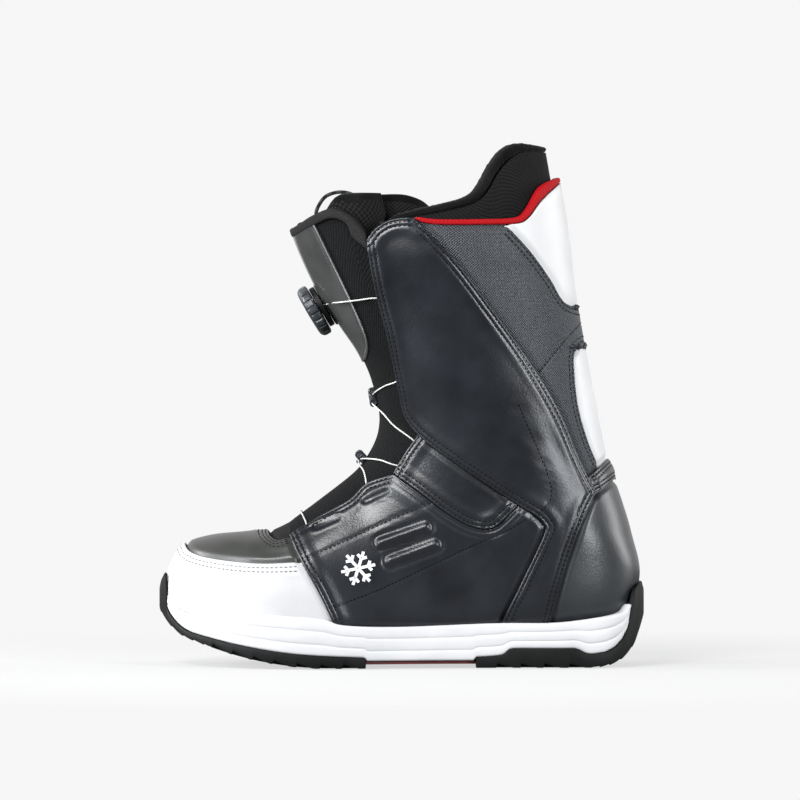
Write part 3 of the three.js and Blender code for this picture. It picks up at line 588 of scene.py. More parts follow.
def repeatShape(name, template, places):
    # one mesh of many copies of a small shape
    points = np.array([x.co[:] for x in template.verts])
    faces = [[x.index for x in f.verts] for f in template.faces]
    allPoints, allFaces = [], []
    for n, place in enumerate(places):
        turn, shift = np.array(place.to_3x3()), np.array(place.translation)
        allPoints.append(points @ turn.T + shift)
        allFaces += [[i + n * len(points) for i in f] for f in faces]
    mesh = bpy.data.meshes.new(name)
    mesh.from_pydata(np.concatenate(allPoints).tolist(), [], allFaces)
    mesh.polygons.foreach_set("use_smooth", np.ones(len(mesh.polygons), bool))
    obj = bpy.data.objects.new(name, mesh)
    bpy.context.collection.objects.link(obj)
    return obj


def sewStitches(name, spots, body, material="thread"):
    template = bmesh.new()
    size = Matrix.Diagonal((stitch["length"] / 2 * mm, stitch["width"] / 2 * mm, stitch["height"] / 2 * mm, 1))
    bmesh.ops.create_uvsphere(template, u_segments=6, v_segments=4, radius=1, matrix=size)
    template.verts.ensure_lookup_table()
    template.verts.index_update()
    obj = repeatShape(name, template, spots)
    template.free()
    return finishPiece(obj, material, "smooth_leather", body)


def rowsOf(panelName, line, rows=None, trim=(2, 2)):
    spots = []
    for distance in rows or edge["rows"]:
        moved = offsetLine(line, distance, panelInfo[panelName])
        spots += stitchSpots(moved, panelTrees[panelName], trim)
    return spots


# materials
materials = {}


def grainGroup():
    # pebbled leather: fine cells, soft creases and a slow change of tone
    group = bpy.data.node_groups.new("leatherGrain", "ShaderNodeTree")
    sizeIn = group.interface.new_socket("Cells", in_out="INPUT", socket_type="NodeSocketFloat")
    sizeIn.default_value = 900
    group.interface.new_socket("Height", in_out="OUTPUT", socket_type="NodeSocketFloat")
    group.interface.new_socket("Tone", in_out="OUTPUT", socket_type="NodeSocketFloat")
    nodes, links = group.nodes, group.links
    take, give = nodes.new("NodeGroupInput"), nodes.new("NodeGroupOutput")
    place = nodes.new("ShaderNodeTexCoord")
    cells, crease, slow = nodes.new("ShaderNodeTexVoronoi"), nodes.new("ShaderNodeTexNoise"), \
        nodes.new("ShaderNodeTexNoise")
    cells.feature = "SMOOTH_F1"
    crease.inputs["Scale"].default_value, crease.inputs["Detail"].default_value = 260, 5
    slow.inputs["Scale"].default_value, slow.inputs["Detail"].default_value = 34, 3
    half, add = nodes.new("ShaderNodeMath"), nodes.new("ShaderNodeMath")
    half.operation, half.inputs[1].default_value = "MULTIPLY", 0.6
    add.operation = "ADD"
    for texture in (cells, crease, slow):
        links.new(place.outputs["Object"], texture.inputs["Vector"])
    links.new(take.outputs["Cells"], cells.inputs["Scale"])
    links.new(cells.outputs["Distance"], half.inputs[0])
    links.new(half.outputs[0], add.inputs[0])
    links.new(crease.outputs["Fac"], add.inputs[1])
    links.new(add.outputs[0], give.inputs["Height"])
    links.new(slow.outputs["Fac"], give.inputs["Tone"])
    return group


def weaveGroup(name, round):
    # crossing threads, on the piece's own UV map or laid round the shaft
    group = bpy.data.node_groups.new(name, "ShaderNodeTree")
    for name, value in (("Across", 1500.0), ("Along", 1500.0)):
        group.interface.new_socket(name, in_out="INPUT", socket_type="NodeSocketFloat").default_value = value
    group.interface.new_socket("Height", in_out="OUTPUT", socket_type="NodeSocketFloat")
    nodes, links = group.nodes, group.links
    take, give = nodes.new("NodeGroupInput"), nodes.new("NodeGroupOutput")
    place, split = nodes.new("ShaderNodeTexCoord" if round else "ShaderNodeUVMap"), nodes.new("ShaderNodeSeparateXYZ")
    links.new(place.outputs["Object" if round else "UV"], split.inputs[0])
    across, along = split.outputs["X"], split.outputs["Y"]
    if round:
        centred, turn, girth = nodes.new("ShaderNodeMath"), nodes.new("ShaderNodeMath"), nodes.new("ShaderNodeMath")
        centred.operation, turn.operation, girth.operation = "SUBTRACT", "ARCTAN2", "MULTIPLY"
        centred.inputs[1].default_value, girth.inputs[1].default_value = shaftMiddle * mm, shaftGirth * mm
        links.new(split.outputs["X"], centred.inputs[0])
        links.new(split.outputs["Y"], turn.inputs[0])
        links.new(centred.outputs[0], turn.inputs[1])
        links.new(turn.outputs[0], girth.inputs[0])
        across, along = girth.outputs[0], split.outputs["Z"]
    waves = []
    for axis, socket in ((across, "Across"), (along, "Along")):
        scale, wave = nodes.new("ShaderNodeMath"), nodes.new("ShaderNodeMath")
        scale.operation, wave.operation = "MULTIPLY", "SINE"
        links.new(axis, scale.inputs[0])
        links.new(take.outputs[socket], scale.inputs[1])
        links.new(scale.outputs[0], wave.inputs[0])
        waves.append(wave)
    cross = nodes.new("ShaderNodeMath")
    cross.operation = "MULTIPLY"
    links.new(waves[0].outputs[0], cross.inputs[0])
    links.new(waves[1].outputs[0], cross.inputs[1])
    links.new(cross.outputs[0], give.inputs["Height"])
    return group


groups = {}
shaftMiddle, shaftGirth = 62, 56


def newMaterial(name, roughness, sheen=0.0, coat=0.0, metallic=0.0, specular=0.5, coatRoughness=0.1):
    material = bpy.data.materials.new(name)
    material.use_nodes = True
    nodes, links = material.node_tree.nodes, material.node_tree.links
    body = nodes["Principled BSDF"]
    body.inputs["Roughness"].default_value = roughness
    body.inputs["Metallic"].default_value = metallic
    body.inputs["Specular IOR Level"].default_value = specular
    body.inputs["Sheen Weight"].default_value = sheen
    body.inputs["Sheen Roughness"].default_value = 0.4
    body.inputs["Coat Weight"].default_value = coat
    body.inputs["Coat Roughness"].default_value = coatRoughness
    materials[name] = material
    return nodes, links, body


def toneMix(nodes, links, body, factor, dark, light):
    ramp = nodes.new("ShaderNodeValToRGB")
    ramp.color_ramp.elements[0].position, ramp.color_ramp.elements[1].position = 0.35, 0.68
    ramp.color_ramp.elements[0].color, ramp.color_ramp.elements[1].color = (*dark, 1), (*light, 1)
    links.new(factor, ramp.inputs["Fac"])
    links.new(ramp.outputs["Color"], body.inputs["Base Color"])
    return ramp


def bumpOn(nodes, links, body, height, strength, distance):
    bump = nodes.new("ShaderNodeBump")
    bump.inputs["Strength"].default_value, bump.inputs["Distance"].default_value = strength, distance * mm
    links.new(height, bump.inputs["Height"])
    links.new(bump.outputs["Normal"], body.inputs["Normal"])


def roughRange(nodes, links, body, factor, low, high):
    span = nodes.new("ShaderNodeMapRange")
    span.inputs["To Min"].default_value, span.inputs["To Max"].default_value = low, high
    links.new(factor, span.inputs["Value"])
    links.new(span.outputs["Result"], body.inputs["Roughness"])


leathers = {
    "smoothLeather": {"dark": (.0045, .0055, .0075), "light": (.009, .011, .0145), "rough": (.27, .4),
                      "shine": .5, "cells": 850, "bump": .35},
    "oliveLeather": {"dark": (.026, .027, .025), "light": (.042, .043, .040), "rough": (.32, .44),
                     "cells": 900, "bump": .25},
    "whiteLeather": {"dark": (.49, .49, .49), "light": (.54, .54, .54), "rough": (.42, .55),
                     "cells": 950, "bump": .22},
    # the white leather again, made darker: painted shade on the toe cap
    "shadedToeLeather": {"dark": (.41, .41, .415), "light": (.45, .45, .455), "rough": (.5, .62), "shine": .3,
                   "cells": 950, "bump": .22},
    # a lighter copy of the black leather: painted highlight on the heel strap, which bulges into the light; the heel
    # counter wears it too
    "litHeelLeather": {"dark": (.014, .016, .018), "light": (.024, .027, .03), "rough": (.3, .42),
                  "cells": 900, "bump": .3},
}


def makeLeathers():
    for name, look in leathers.items():
        nodes, links, body = newMaterial(name, 0.45, specular=look.get("shine", 0.5))
        grain = nodes.new("ShaderNodeGroup")
        grain.node_tree = groups["grain"]
        grain.inputs["Cells"].default_value = look["cells"]
        toneMix(nodes, links, body, grain.outputs["Tone"], look["dark"], look["light"])
        roughRange(nodes, links, body, grain.outputs["Tone"], *look["rough"])
        bumpOn(nodes, links, body, grain.outputs["Height"], look["bump"], 0.25)


cloths = {
    "meshCloth": {"dark": (.006, .0075, .009), "light": (.05, .057, .066), "rough": .45,
                  "across": 3700, "along": 3700, "bump": .7, "deep": .4, "shine": .45, "round": True},
    "knit": {"dark": (.002, .002, .0022), "light": (.006, .0065, .007), "rough": .85, "across": 4200, "along": 1500,
             "bump": .7, "deep": .3},
    "linerCloth": {"dark": (.002, .002, .002), "light": (.009, .009, .009), "rough": .8, "across": 2600,
                   "along": 2600, "bump": .7, "deep": .3},
    "webbing": {"dark": (.01, .01, .01), "light": (.045, .045, .047), "rough": .8, "across": 900, "along": 3600,
                "bump": .7, "deep": .3},
    "binding": {"dark": (.008, .008, .008), "light": (.021, .021, .020), "rough": .7, "across": 5200,
                "along": 5200, "bump": .6, "deep": .25},
    "redCloth": {"dark": (.24, .002, .004), "light": (.36, .004, .007), "rough": .7, "across": 2600,
                 "along": 2600, "bump": .4, "deep": .2},
}


def makeCloths():
    for name, look in cloths.items():
        nodes, links, body = newMaterial(name, look["rough"], specular=look.get("shine", 0.12))
        weave = nodes.new("ShaderNodeGroup")
        weave.node_tree = groups["roundWeave" if "round" in look else "weave"]
        weave.inputs["Across"].default_value = look["across"]
        weave.inputs["Along"].default_value = look["along"]
        tone = nodes.new("ShaderNodeMapRange")
        tone.inputs["From Min"].default_value = -1
        links.new(weave.outputs["Height"], tone.inputs["Value"])
        toneMix(nodes, links, body, tone.outputs["Result"], look["dark"], look["light"])
        bumpOn(nodes, links, body, weave.outputs["Height"], look["bump"], look["deep"])


solids = {
    "rubber": {"dark": (.002, .0022, .0022), "light": (.005, .0052, .0052), "rough": (.5, .66), "scale": 420,
               "bump": .25, "shine": .15},
    "whiteFoam": {"dark": (.47, .47, .475), "light": (.52, .52, .525), "rough": (.5, .66), "scale": 700, "bump": .12},
    "bedFoam": {"dark": (.03, .03, .033), "light": (.05, .05, .055), "rough": (.8, .9), "scale": 900, "bump": .4},
    "redPlate": {"dark": (.10, .010, .010), "light": (.16, .016, .014), "rough": (.45, .6), "scale": 300, "bump": .1},
    "plastic": {"dark": (.0015, .0015, .0017), "light": (.0035, .0035, .004), "rough": (.48, .6), "scale": 500,
                "bump": .08, "shine": .2},
    "dialPlastic": {"dark": (.016, .019, .023), "light": (.03, .034, .04), "rough": (.34, .46), "scale": 600,
                    "bump": .1},
    "greyPlastic": {"dark": (.07, .075, .08), "light": (.11, .115, .12), "rough": (.35, .45), "scale": 500,
                    "bump": .08},
    "board": {"dark": (.18, .16, .13), "light": (.28, .25, .2), "rough": (.8, .92), "scale": 600, "bump": .3},
    "thread": {"dark": (.0008, .0008, .001), "light": (.003, .003, .0035), "rough": (.62, .8), "scale": 2500,
               "bump": .4, "shine": .15},
    "paleThread": {"dark": (.10, .105, .11), "light": (.17, .175, .18), "rough": (.5, .6), "scale": 2500, "bump": .4},
    "whitePrint": {"dark": (.56, .57, .58), "light": (.64, .64, .64), "rough": (.4, .5), "scale": 900, "bump": .1},
    "knitPlain": {"dark": (.006, .006, .006), "light": (.015, .015, .016), "rough": (.8, .95), "scale": 1800,
                  "bump": .6, "shine": .15},
    "fleece": {"dark": (.0015, .0015, .0015), "light": (.008, .008, .0085), "rough": (.9, 1), "scale": 1300,
               "bump": 1.0, "sheen": .05, "shine": .1},
    "laceCoat": {"dark": (.42, .42, .40), "light": (.58, .57, .54), "rough": (.3, .4), "scale": 1500, "bump": .2},
    "shieldGloss": {"dark": (.030, .032, .031), "light": (.046, .048, .046), "rough": (.16, .24), "scale": 60,
                    "bump": .02},
}


def makeSolids():
    for name, look in solids.items():
        nodes, links, body = newMaterial(name, 0.5, sheen=look.get("sheen", 0), specular=look.get("shine", 0.5))
        place, speck = nodes.new("ShaderNodeTexCoord"), nodes.new("ShaderNodeTexNoise")
        speck.inputs["Scale"].default_value, speck.inputs["Detail"].default_value = look["scale"], 4
        slow = nodes.new("ShaderNodeTexNoise")
        slow.inputs["Scale"].default_value = 40
        links.new(place.outputs["Object"], speck.inputs["Vector"])
        links.new(place.outputs["Object"], slow.inputs["Vector"])
        toneMix(nodes, links, body, slow.outputs["Fac"], look["dark"], look["light"])
        roughRange(nodes, links, body, speck.outputs["Fac"], *look["rough"])
        bumpOn(nodes, links, body, speck.outputs["Fac"], look["bump"], 0.3)
    nodes, links, body = newMaterial("steel", 0.28, metallic=1.0)
    place, brushed = nodes.new("ShaderNodeTexCoord"), nodes.new("ShaderNodeTexNoise")
    brushed.inputs["Scale"].default_value = 1200
    links.new(place.outputs["Object"], brushed.inputs["Vector"])
    toneMix(nodes, links, body, brushed.outputs["Fac"], (.5, .5, .5), (.65, .65, .66))
    roughRange(nodes, links, body, brushed.outputs["Fac"], .2, .35)


makeCamera()
makeStage()
groups["grain"], groups["weave"] = grainGroup(), weaveGroup("threadWeave", False)
groups["roundWeave"] = weaveGroup("roundWeave", True)
makeLeathers()
makeCloths()
makeSolids()
print("stage and materials ready")


# upper
sides = (("lateral", -1), ("medial", 1))
ribs = [[[-13, 79.5], [15.5, 89.5]], [[-7, 68], [21.5, 78.5]]]
slots = [[[-55.2, 88.6], [-40.3, 95.2]], [[-23.5, 105.3], [-9, 112.2]]]


def capsule(points, ends):
    x, z = points[..., 0], points[..., 2]
    (ax, az), (bx, bz) = ends
    dx, dz = bx - ax, bz - az
    t = np.clip(((x - ax) * dx + (z - az) * dz) / (dx * dx + dz * dz), 0, 1)
    return np.hypot(x - ax - t * dx, z - az - t * dz)


def quarterShape(base, inside):
    height = np.zeros(base.shape[:2])
    for rib in ribs:
        d = capsule(base, rib)
        height += 1.7 * (1 - smooth(d, 1.0, 3.6)) - 0.7 * np.exp(-((d - 4.6) / 1.1) ** 2)
    for slot in slots:
        d = capsule(base, slot)
        height += 0.45 * np.exp(-((d - 2.6) / .55) ** 2) - 0.75 * (1 - smooth(d, 1.2, 2.2))
    return height


def cuffShape(base, inside):
    # hanging folds down the shaft and creases that gather over the ankle
    x, z = base[..., 0], base[..., 2]
    hang = np.sin((x + 0.22 * (z - 200)) / 9.5 + 2.2 * np.sin(z / 55)) * smooth(z, 150, 235)
    flex = np.sin((z + 0.45 * x) / 7.5 + 1.5 * np.sin(x / 23)) * np.exp(-((z - 135) / 24) ** 2)
    roll = 1.2 * smooth(z, 230, 258) - 3.6 * smooth(z, 260, 288)
    return inside * (0.32 * hang + 0.42 * flex) + roll


def patchShape(base, inside):
    x, z = base[..., 0], base[..., 2]
    return inside * 0.3 * np.sin((z + 0.8 * x) / 8 + np.sin(x / 17))


def rearShape(base, inside):
    # a few horizontal creases where the cuff bends
    x, z = base[..., 0], base[..., 2]
    return inside * 0.35 * np.sin(z / 5.5 + 0.06 * x + 1.4 * np.sin(x / 21)) * np.exp(-((z - 262) / 16) ** 2)


def join(*lines):
    return np.concatenate([lines[0]] + [line[1:] for line in lines[1:]])


def buildSidePanels():
    for name, side in sides:
        line = {key: onSide(points, side) for key, points in seams.items()}
        quarterTop = join(line["eyestayLow"], line["patchEdge"])
        soleQuarter = onSide(spline([[-41, 23.5], [0, 23.5], [61, 24]]), side)
        makePanel("quarter_" + name, quarterTop, soleQuarter, line["quarterFront"], line["patchToSole"],
                  ("over", "plain", "over", "under"),
                  {"material": "smoothLeather", "slot": "smooth_leather", "shape": quarterShape, "step": 1.5,
                   "lines": [line["eyestayLine"], onSide(seams["cuffInnerLine"][72:], side)], "seed": 3.1},
                  ["quarter_" + name])
        patchFront = line["eyestayHigh"][::-1]
        patchBottom, patchRight = line["patchEdge"][:33], line["patchEdge"][32:][::-1]
        makePanel("ankle_patch_" + name, line["ankleToPatch"], patchBottom, patchFront, patchRight,
                  ("under", "over", "over", "over"),
                  {"material": "smoothLeather", "slot": "smooth_leather", "shape": patchShape, "base": 0.5,
                   "seed": 5.7, "puff": 1.1},
                  ["ankle_patch_" + name])
        cuffLeft = join(line["cuffFront"][::-1], line["ankleLine"])
        cuffRight = join(line["rearSeam"], line["counterFront"])
        soleCuff = onSide(spline([[61, 24], [78, 24], [93.5, 24]]), side)
        makePanel("cuff_" + name, line["cuffTop"], soleCuff, cuffLeft, cuffRight,
                  ("over", "plain", "over", "over"),
                  {"material": "smoothLeather", "slot": "smooth_leather", "shape": cuffShape, "base": 0.25,
                   "step": 1.9, "lines": [onSide(seams["cuffInnerLine"][24:80], side)], "seed": 9.2, "puff": 0.9,
                   "ripple": 0.6},
                  ["cuff_" + name])
        rearTop = onSide(spline([[11, 283], [30, 281.4], [50, 281.2], [67, 281]]), side)
        backLine = np.array([[119, 206.5], [116, 228]])
        v = locate(spline(backLine[::-1]), side)[0]
        centreBack = skin(v, np.full(len(v), math.pi * side))
        rearEdge = onSide(seams["rearEdge"], side, math.pi)
        window = onSide(seams["windowEdge"][::-1], side, math.pi)[::-1]
        rearRight = np.concatenate([rearEdge, centreBack[1:-1], window])
        rearLow = onSide(spline([[118.5, 121], [122, 124], [126, 127.5]]), side)
        makePanel("rear_cuff_" + name, rearTop, rearLow, line["rearSeam"][:49], rearRight,
                  ("under", "under", "under", "free"),
                  {"material": "meshCloth", "slot": "grain_leather", "shape": rearShape, "seed": 2.4,
                   "puff": 0.6, "lines": [onSide(seams["cuffInnerLine"][:32], side)]},
                  ["rear_cuff_" + name])


def tabShape(base, inside):
    return -0.5 - 2.2 * smooth(base[..., 0], -82, -67.5)


def buildCentrePanels():
    vampU = acrossFront(seams["vampEdge"][::-1])
    toeLow = acrossFront(spline([[-41, 23.5], [-76, 27], [-108, 29], [-132, 33], [-144, 38], [-149, 44],
                                 [-150.5, 51.5]]))
    toeSides = [onSide(seams["quarterFront"][9:], side) for side in (-1, 1)]
    toeSides = [join(line[:1] * 0 + end, line) for end, line in zip((vampU[:1], vampU[-1:]), toeSides)]
    # the toe cap wears the darker copy of the white leather: painted shade
    makePanel("toe_cap", vampU, toeLow, toeSides[0], toeSides[1], ("over", "plain", "under", "under"),
              {"material": "shadedToeLeather", "slot": "white_leather", "rows": (3.2, 6.2), "ripple": 0.15,
               "step": 2.0, "puff": 0.3}, ["toe_cap"])
    throatU = acrossFront(seams["throatEdge"][::-1])
    vampSides = [onSide(seams["quarterFront"][:9], side) for side in (-1, 1)]
    vampSides = [np.concatenate([line, end]) for end, line in zip((vampU[:1], vampU[-1:]), vampSides)]
    makePanel("vamp", throatU, vampU, vampSides[0], vampSides[1], ("over", "under", "under", "under"),
              {"material": "oliveLeather", "slot": "olive_leather", "rows": (1.8, 4.0, 6.4), "step": 1.6,
               "base": 0.1, "ripple": 0.5, "seed": 6.6}, ["vamp"])
    tabRear = acrossFront(spline([[-66.5, 86.5], [-65.5, 92], [-66.5, 98.5]]))
    tabSides = [np.array([throatU[k], tabRear[k]]) for k in (0, -1)]
    makePanel("throat_tab", throatU, tabRear, tabSides[0], tabSides[1], ("under", "free", "plain", "plain"),
              {"material": "knitPlain", "slot": "olive_leather", "rows": (), "step": 1.4, "base": -0.3,
               "seed": 1.6, "wall": 1.2, "shape": tabShape}, ["throat_tab"])
    rearU = acrossFront(seams["rearEdge"], math.pi)
    collarU = acrossFront(seams["trimLow"][24:], math.pi)
    pointSide = [np.array([collarU[k], rearU[k]]) for k in (0, -1)]
    makePanel("backstay_upper", collarU, rearU, pointSide[0], pointSide[1], ("plain", "under", "plain", "plain"),
              {"material": "whiteLeather", "slot": "white_leather", "rows": (), "ripple": 0.1, "puff": 0.2},
              ["backstay_upper"])
    window = [onSide(seams["windowEdge"][8:], side) for side in (-1, 1)]
    windowTop = acrossFront(seams["windowEdge"][:9][::-1], math.pi)
    strapTop = acrossFront(spline([[118.5, 121], [125, 126.7], [133, 132.5]]), math.pi)
    strapTopInner = acrossFront(spline([[126, 127.5], [130, 131], [133, 132.5]]), math.pi)
    makePanel("backstay_lower", windowTop, strapTopInner, window[0], window[1],
              ("under", "under", "under", "under"),
              {"material": "whiteLeather", "slot": "white_leather", "rows": (), "ripple": 0.1, "puff": 0.3},
              ["backstay_lower"])
    strapLow = acrossFront(spline([[124, 111], [131, 115.7], [138, 120.5]]), math.pi)
    strapSides = [onSide(spline([[118.5, 121], [124, 111]]), side) for side in (-1, 1)]
    # the strap wears the lighter copy of the black leather: painted highlight
    makePanel("heel_strap", strapTop, strapLow, strapSides[0], strapSides[1], ("over", "over", "under", "under"),
              {"material": "litHeelLeather", "slot": "smooth_leather", "base": 0.4, "step": 1.6, "rows": (1.8, 4.2)},
              ["heel_strap"])
    counterSides = [onSide(seams["counterFront"], side) for side in (-1, 1)]
    counterLow = acrossFront(spline([[93.5, 24], [115, 25.5], [133, 29], [144, 36], [149.5, 44]]), math.pi)
    makePanel("heel_counter", strapLow, counterLow, counterSides[0], counterSides[1],
              ("under", "plain", "under", "under"),
              {"material": "litHeelLeather", "slot": "olive_leather", "rows": (), "ripple": 0.35, "seed": 8.2,
               "puff": 0.7}, ["heel_counter"])
    return vampU, throatU, rearU, strapTop, strapLow


buildSidePanels()
vampU, throatU, rearU, strapTop, strapLow = buildCentrePanels()
print("upper panels ready")


def buildStitches():
    for name, side in sides:
        line = {key: onSide(points, side) for key, points in seams.items()}
        quarter, cuff = "quarter_" + name, "cuff_" + name
        patch, rear = "ankle_patch_" + name, "rear_cuff_" + name
        spots = rowsOf(quarter, line["quarterFront"]) + rowsOf(quarter, line["eyestayLow"])
        spots += stitchSpots(line["eyestayLine"], panelTrees[quarter])
        spots += stitchSpots(onSide(seams["cuffInnerLine"][72:], side), panelTrees[quarter], pitch=2.6)
        spots += rowsOf(patch, line["patchEdge"]) + rowsOf(patch, line["eyestayHigh"])
        spots += rowsOf(cuff, join(line["cuffFront"][::-1], line["ankleLine"]))
        spots += rowsOf(cuff, line["cuffTop"]) + rowsOf(cuff, join(line["rearSeam"], line["counterFront"]))
        spots += stitchSpots(onSide(seams["cuffInnerLine"][30:80], side), panelTrees[cuff], pitch=2.8)
        spots += stitchSpots(onSide(seams["cuffInnerLine"][:32], side), panelTrees[rear], pitch=2.8)
        spots += rowsOf(rear, line["rearEdge"], trim=(2, 12)) + rowsOf(rear, line["windowEdge"], trim=(12, 2))
        sewStitches("stitches_" + name, spots, "boot")
    spots = rowsOf("heel_strap", strapTop) + rowsOf("heel_strap", strapLow)
    vampRows = offsetLine(throatU, 1.8, [-110, 8, 80]), offsetLine(throatU, 4.0, [-110, 8, 80]), \
        offsetLine(throatU, 6.4, [-110, 8, 80])
    for row in vampRows:
        spots += stitchSpots(row, panelTrees["vamp"])
    sewStitches("stitches_centre", spots, "boot")
    toeSpots = []
    for distance in (3.2, 6.2):
        toeSpots += stitchSpots(offsetLine(vampU, distance, [-110, 8, -400]), panelTrees["toe_cap"])
    sewStitches("stitches_toe", toeSpots, "boot", "paleThread")


buildStitches()
print("stitches ready")


# sole unit
solePlan = [[-155.2, 8], [-152.5, -5], [-146, -17], [-134, -31.5], [-115, -45], [-92, -54.5], [-65, -58],
            [-35, -55.5], [-5, -49.5], [30, -44.5], [70, -42.5], [105, -43], [130, -38], [146, -26],
            [153, -12], [155.2, 2], [153, 16], [146, 30], [130, 42], [105, 47], [70, 46.5], [30, 48.5],
            [-5, 52.5], [-35, 56.5], [-65, 58], [-92, 56], [-115, 52], [-134, 44.5], [-146, 33],
            [-152.5, 21]]
heelPoint = 15  # the row of solePlan at the back of the heel
tread = {"lugs": [-121, -108, -95, -82, -67.5, -52, -38], "end": -22.7, "depth": 2.5,
         "heelLugs": [47.4, 60, 75, 90, 106], "heelEnd": 121, "ridge": 0.9, "ridgePitch": 7.0}
bumperUp = spline([[-155.6, 45], [-155.0, 50], [-153.8, 55], [-152, 58]])
bumperDown = spline([[-155.6, 45], [-154, 34], [-142, 21], [-125, 14.2], [-121, 12.7]])
rubberTop = spline([[-152, 58], [-151.2, 56.5], [-150.6, 52], [-150.2, 44], [-149, 34], [-139, 24], [-123, 19],
                    [-97, 13.5], [-65, 9], [-22.7, 6.7]])
heelDown = spline([[121, 0], [137, 3.5], [148, 14], [155.6, 34]])
heelUp = spline([[153.8, 53], [155.0, 49], [155.5, 42], [155.6, 34]])
heelTop = np.array([[47.4, 6.7], [57, 7.2], [63.5, 7.9], [65.5, 9], [68.5, 11.6], [71, 12.2], [110, 12.2],
                    [113, 11.6], [117, 9.2], [121, 8.5], [130, 9.6], [136, 12.5], [141, 17.5], [145, 25],
                    [146.5, 38], [148.6, 47], [150.5, 51], [152.5, 53], [153.8, 53]])
soleTop = spline([[-150, 45.2], [-139, 42], [-108, 36], [-76, 33.5], [-50, 31.5], [-36, 27.5], [0, 26.3],
                  [60, 28.3], [96, 28.6], [126, 31.8], [142, 34.8], [147, 40]])


def closedSpline(points, per=24):
    points = np.array(points, float)
    ring = np.concatenate([points[-2:], points, points[:3]])
    fine = blendRows(ring, np.linspace(2, 2 + len(points), len(points) * per + 1))
    return fine, per


planRing, planPer = closedSpline(solePlan)
planLateral = planRing[:heelPoint * planPer + 1]
planMedial = planRing[heelPoint * planPer:][::-1]


def planAt(x, half):
    # a point of the sole's edge at x, with the way inwards
    place = np.interp(x, half[:, 0], np.arange(len(half)))
    low = np.clip(place.astype(int), 0, len(half) - 2)
    t = (place - low)[:, None]
    points = half[low] * (1 - t) + half[low + 1] * t
    before, after = np.maximum(low - 6, 0), np.minimum(low + 7, len(half) - 1)
    along = half[after] - half[before]
    inward = np.stack([-along[:, 1], along[:, 0]], 1) * (1 if half is planLateral else -1)
    ends = (low <= 6) | (low >= len(half) - 8)
    inward = np.where(ends[:, None], np.stack([-np.sign(x) * np.ones_like(x), 0 * x], 1), inward)
    return points, inward / np.linalg.norm(inward, axis=1, keepdims=True)


def treadLine(x, depth=1.0):
    # the ground line of the rubber: saw-tooth lugs, rising at both ends; depth 0 leaves the notches out
    rise = np.where(x < -45, 0.0022 * (x + 45) ** 2, 0)
    z = rise.copy()
    for starts, end in ((tread["lugs"], tread["end"]), (tread["heelLugs"], tread["heelEnd"])):
        for start in starts:
            along = x - start
            notch = np.where(along < 1.0, 0, np.where(along < 1.6, 1, np.clip(1 - (along - 1.6) / 9.5, 0, 1)))
            following = [s for s in starts if s > start] + [end]
            notch = np.where((along >= 0) & (x < following[0]), notch, 0)
            z += notch * depth * tread["depth"] * (0 if start == 47.4 else 1)
    toe = np.interp(x, bumperDown[:, 0], bumperDown[:, 1])
    heel = np.interp(x, heelDown[:, 0], heelDown[:, 1])
    ridges = tread["ridge"] * (1 - (np.abs(x) / tread["ridgePitch"]) % 1)
    z = np.where(x < -121, toe - ridges * smooth(-x, 121, 124) + 0.5, z)
    return np.where(x > 121, heel - ridges * smooth(x, 123, 126) * smooth(-x, -151, -149) + 0.2, z)


def sawStations(starts, end):
    spots = []
    for start in starts:
        spots += [start - .02, start + .02, start + 1.0, start + 1.02, start + 1.6]
    return spots + [end]


def loftSole(name, stations, rows, caps=True):
    # rows(k) gives the points of the closed section at station k; the grid closes round it
    points = np.array([rows(k) for k in range(len(stations))]).transpose(1, 0, 2)
    points = np.concatenate([points, points[:1]])
    obj = gridMesh(name, points, stations - stations[0], lengths(points[:, len(stations) // 2]))
    return mend(obj, doubles=2e-6, caps=caps, recalc=True)


def flatShadeSharp(obj, angle=35):
    # keep crisp edges crisp
    for e in obj.data.edges:
        e.use_edge_sharp = False
    bm = bmesh.new()
    bm.from_mesh(obj.data)
    for e in bm.edges:
        if len(e.link_faces) == 2 and e.calc_face_angle(0) > math.radians(angle):
            e.smooth = False
    bm.to_mesh(obj.data)
    bm.free()
    return obj


def buildOutsoles():
    toeEnd = -155.2 + 5.2 * np.linspace(0, 1, 22) ** 2
    between = np.concatenate([np.arange(-149.6, -121, 0.8), np.arange(-121, tread["end"], 1.6)])
    stations = np.unique(np.round(np.concatenate(
        [toeEnd, between, sawStations(tread["lugs"], tread["end"])]), 3))
    stations = stations[stations <= tread["end"]]
    low = treadLine(stations)
    top = np.where(stations < -152, np.interp(stations, bumperUp[:, 0], bumperUp[:, 1]),
                   np.interp(stations, rubberTop[:, 0], rubberTop[:, 1]))
    low = np.minimum(low, top - 0.4)
    outsoleRows(stations, low, top, -1, "outsole_forefoot")
    heelEndStations = 155.2 - 5.2 * np.linspace(0, 1, 22)[::-1] ** 2
    stations = np.unique(np.round(np.concatenate(
        [[47.4], np.arange(48.5, 121, 1.6), np.arange(121, 150, 0.8), heelEndStations, [65.5, 68.5, 113, 117],
         sawStations(tread["heelLugs"][1:], tread["heelEnd"])]), 3))
    low = treadLine(stations)
    top = np.where(stations > 153.8, np.interp(-stations, -heelUp[::-1, 0], heelUp[::-1, 1]),
                   np.interp(stations, heelTop[:, 0], heelTop[:, 1]))
    low = np.minimum(low, top - 0.4)
    outsoleRows(stations, low, top, 1, "outsole_heel")


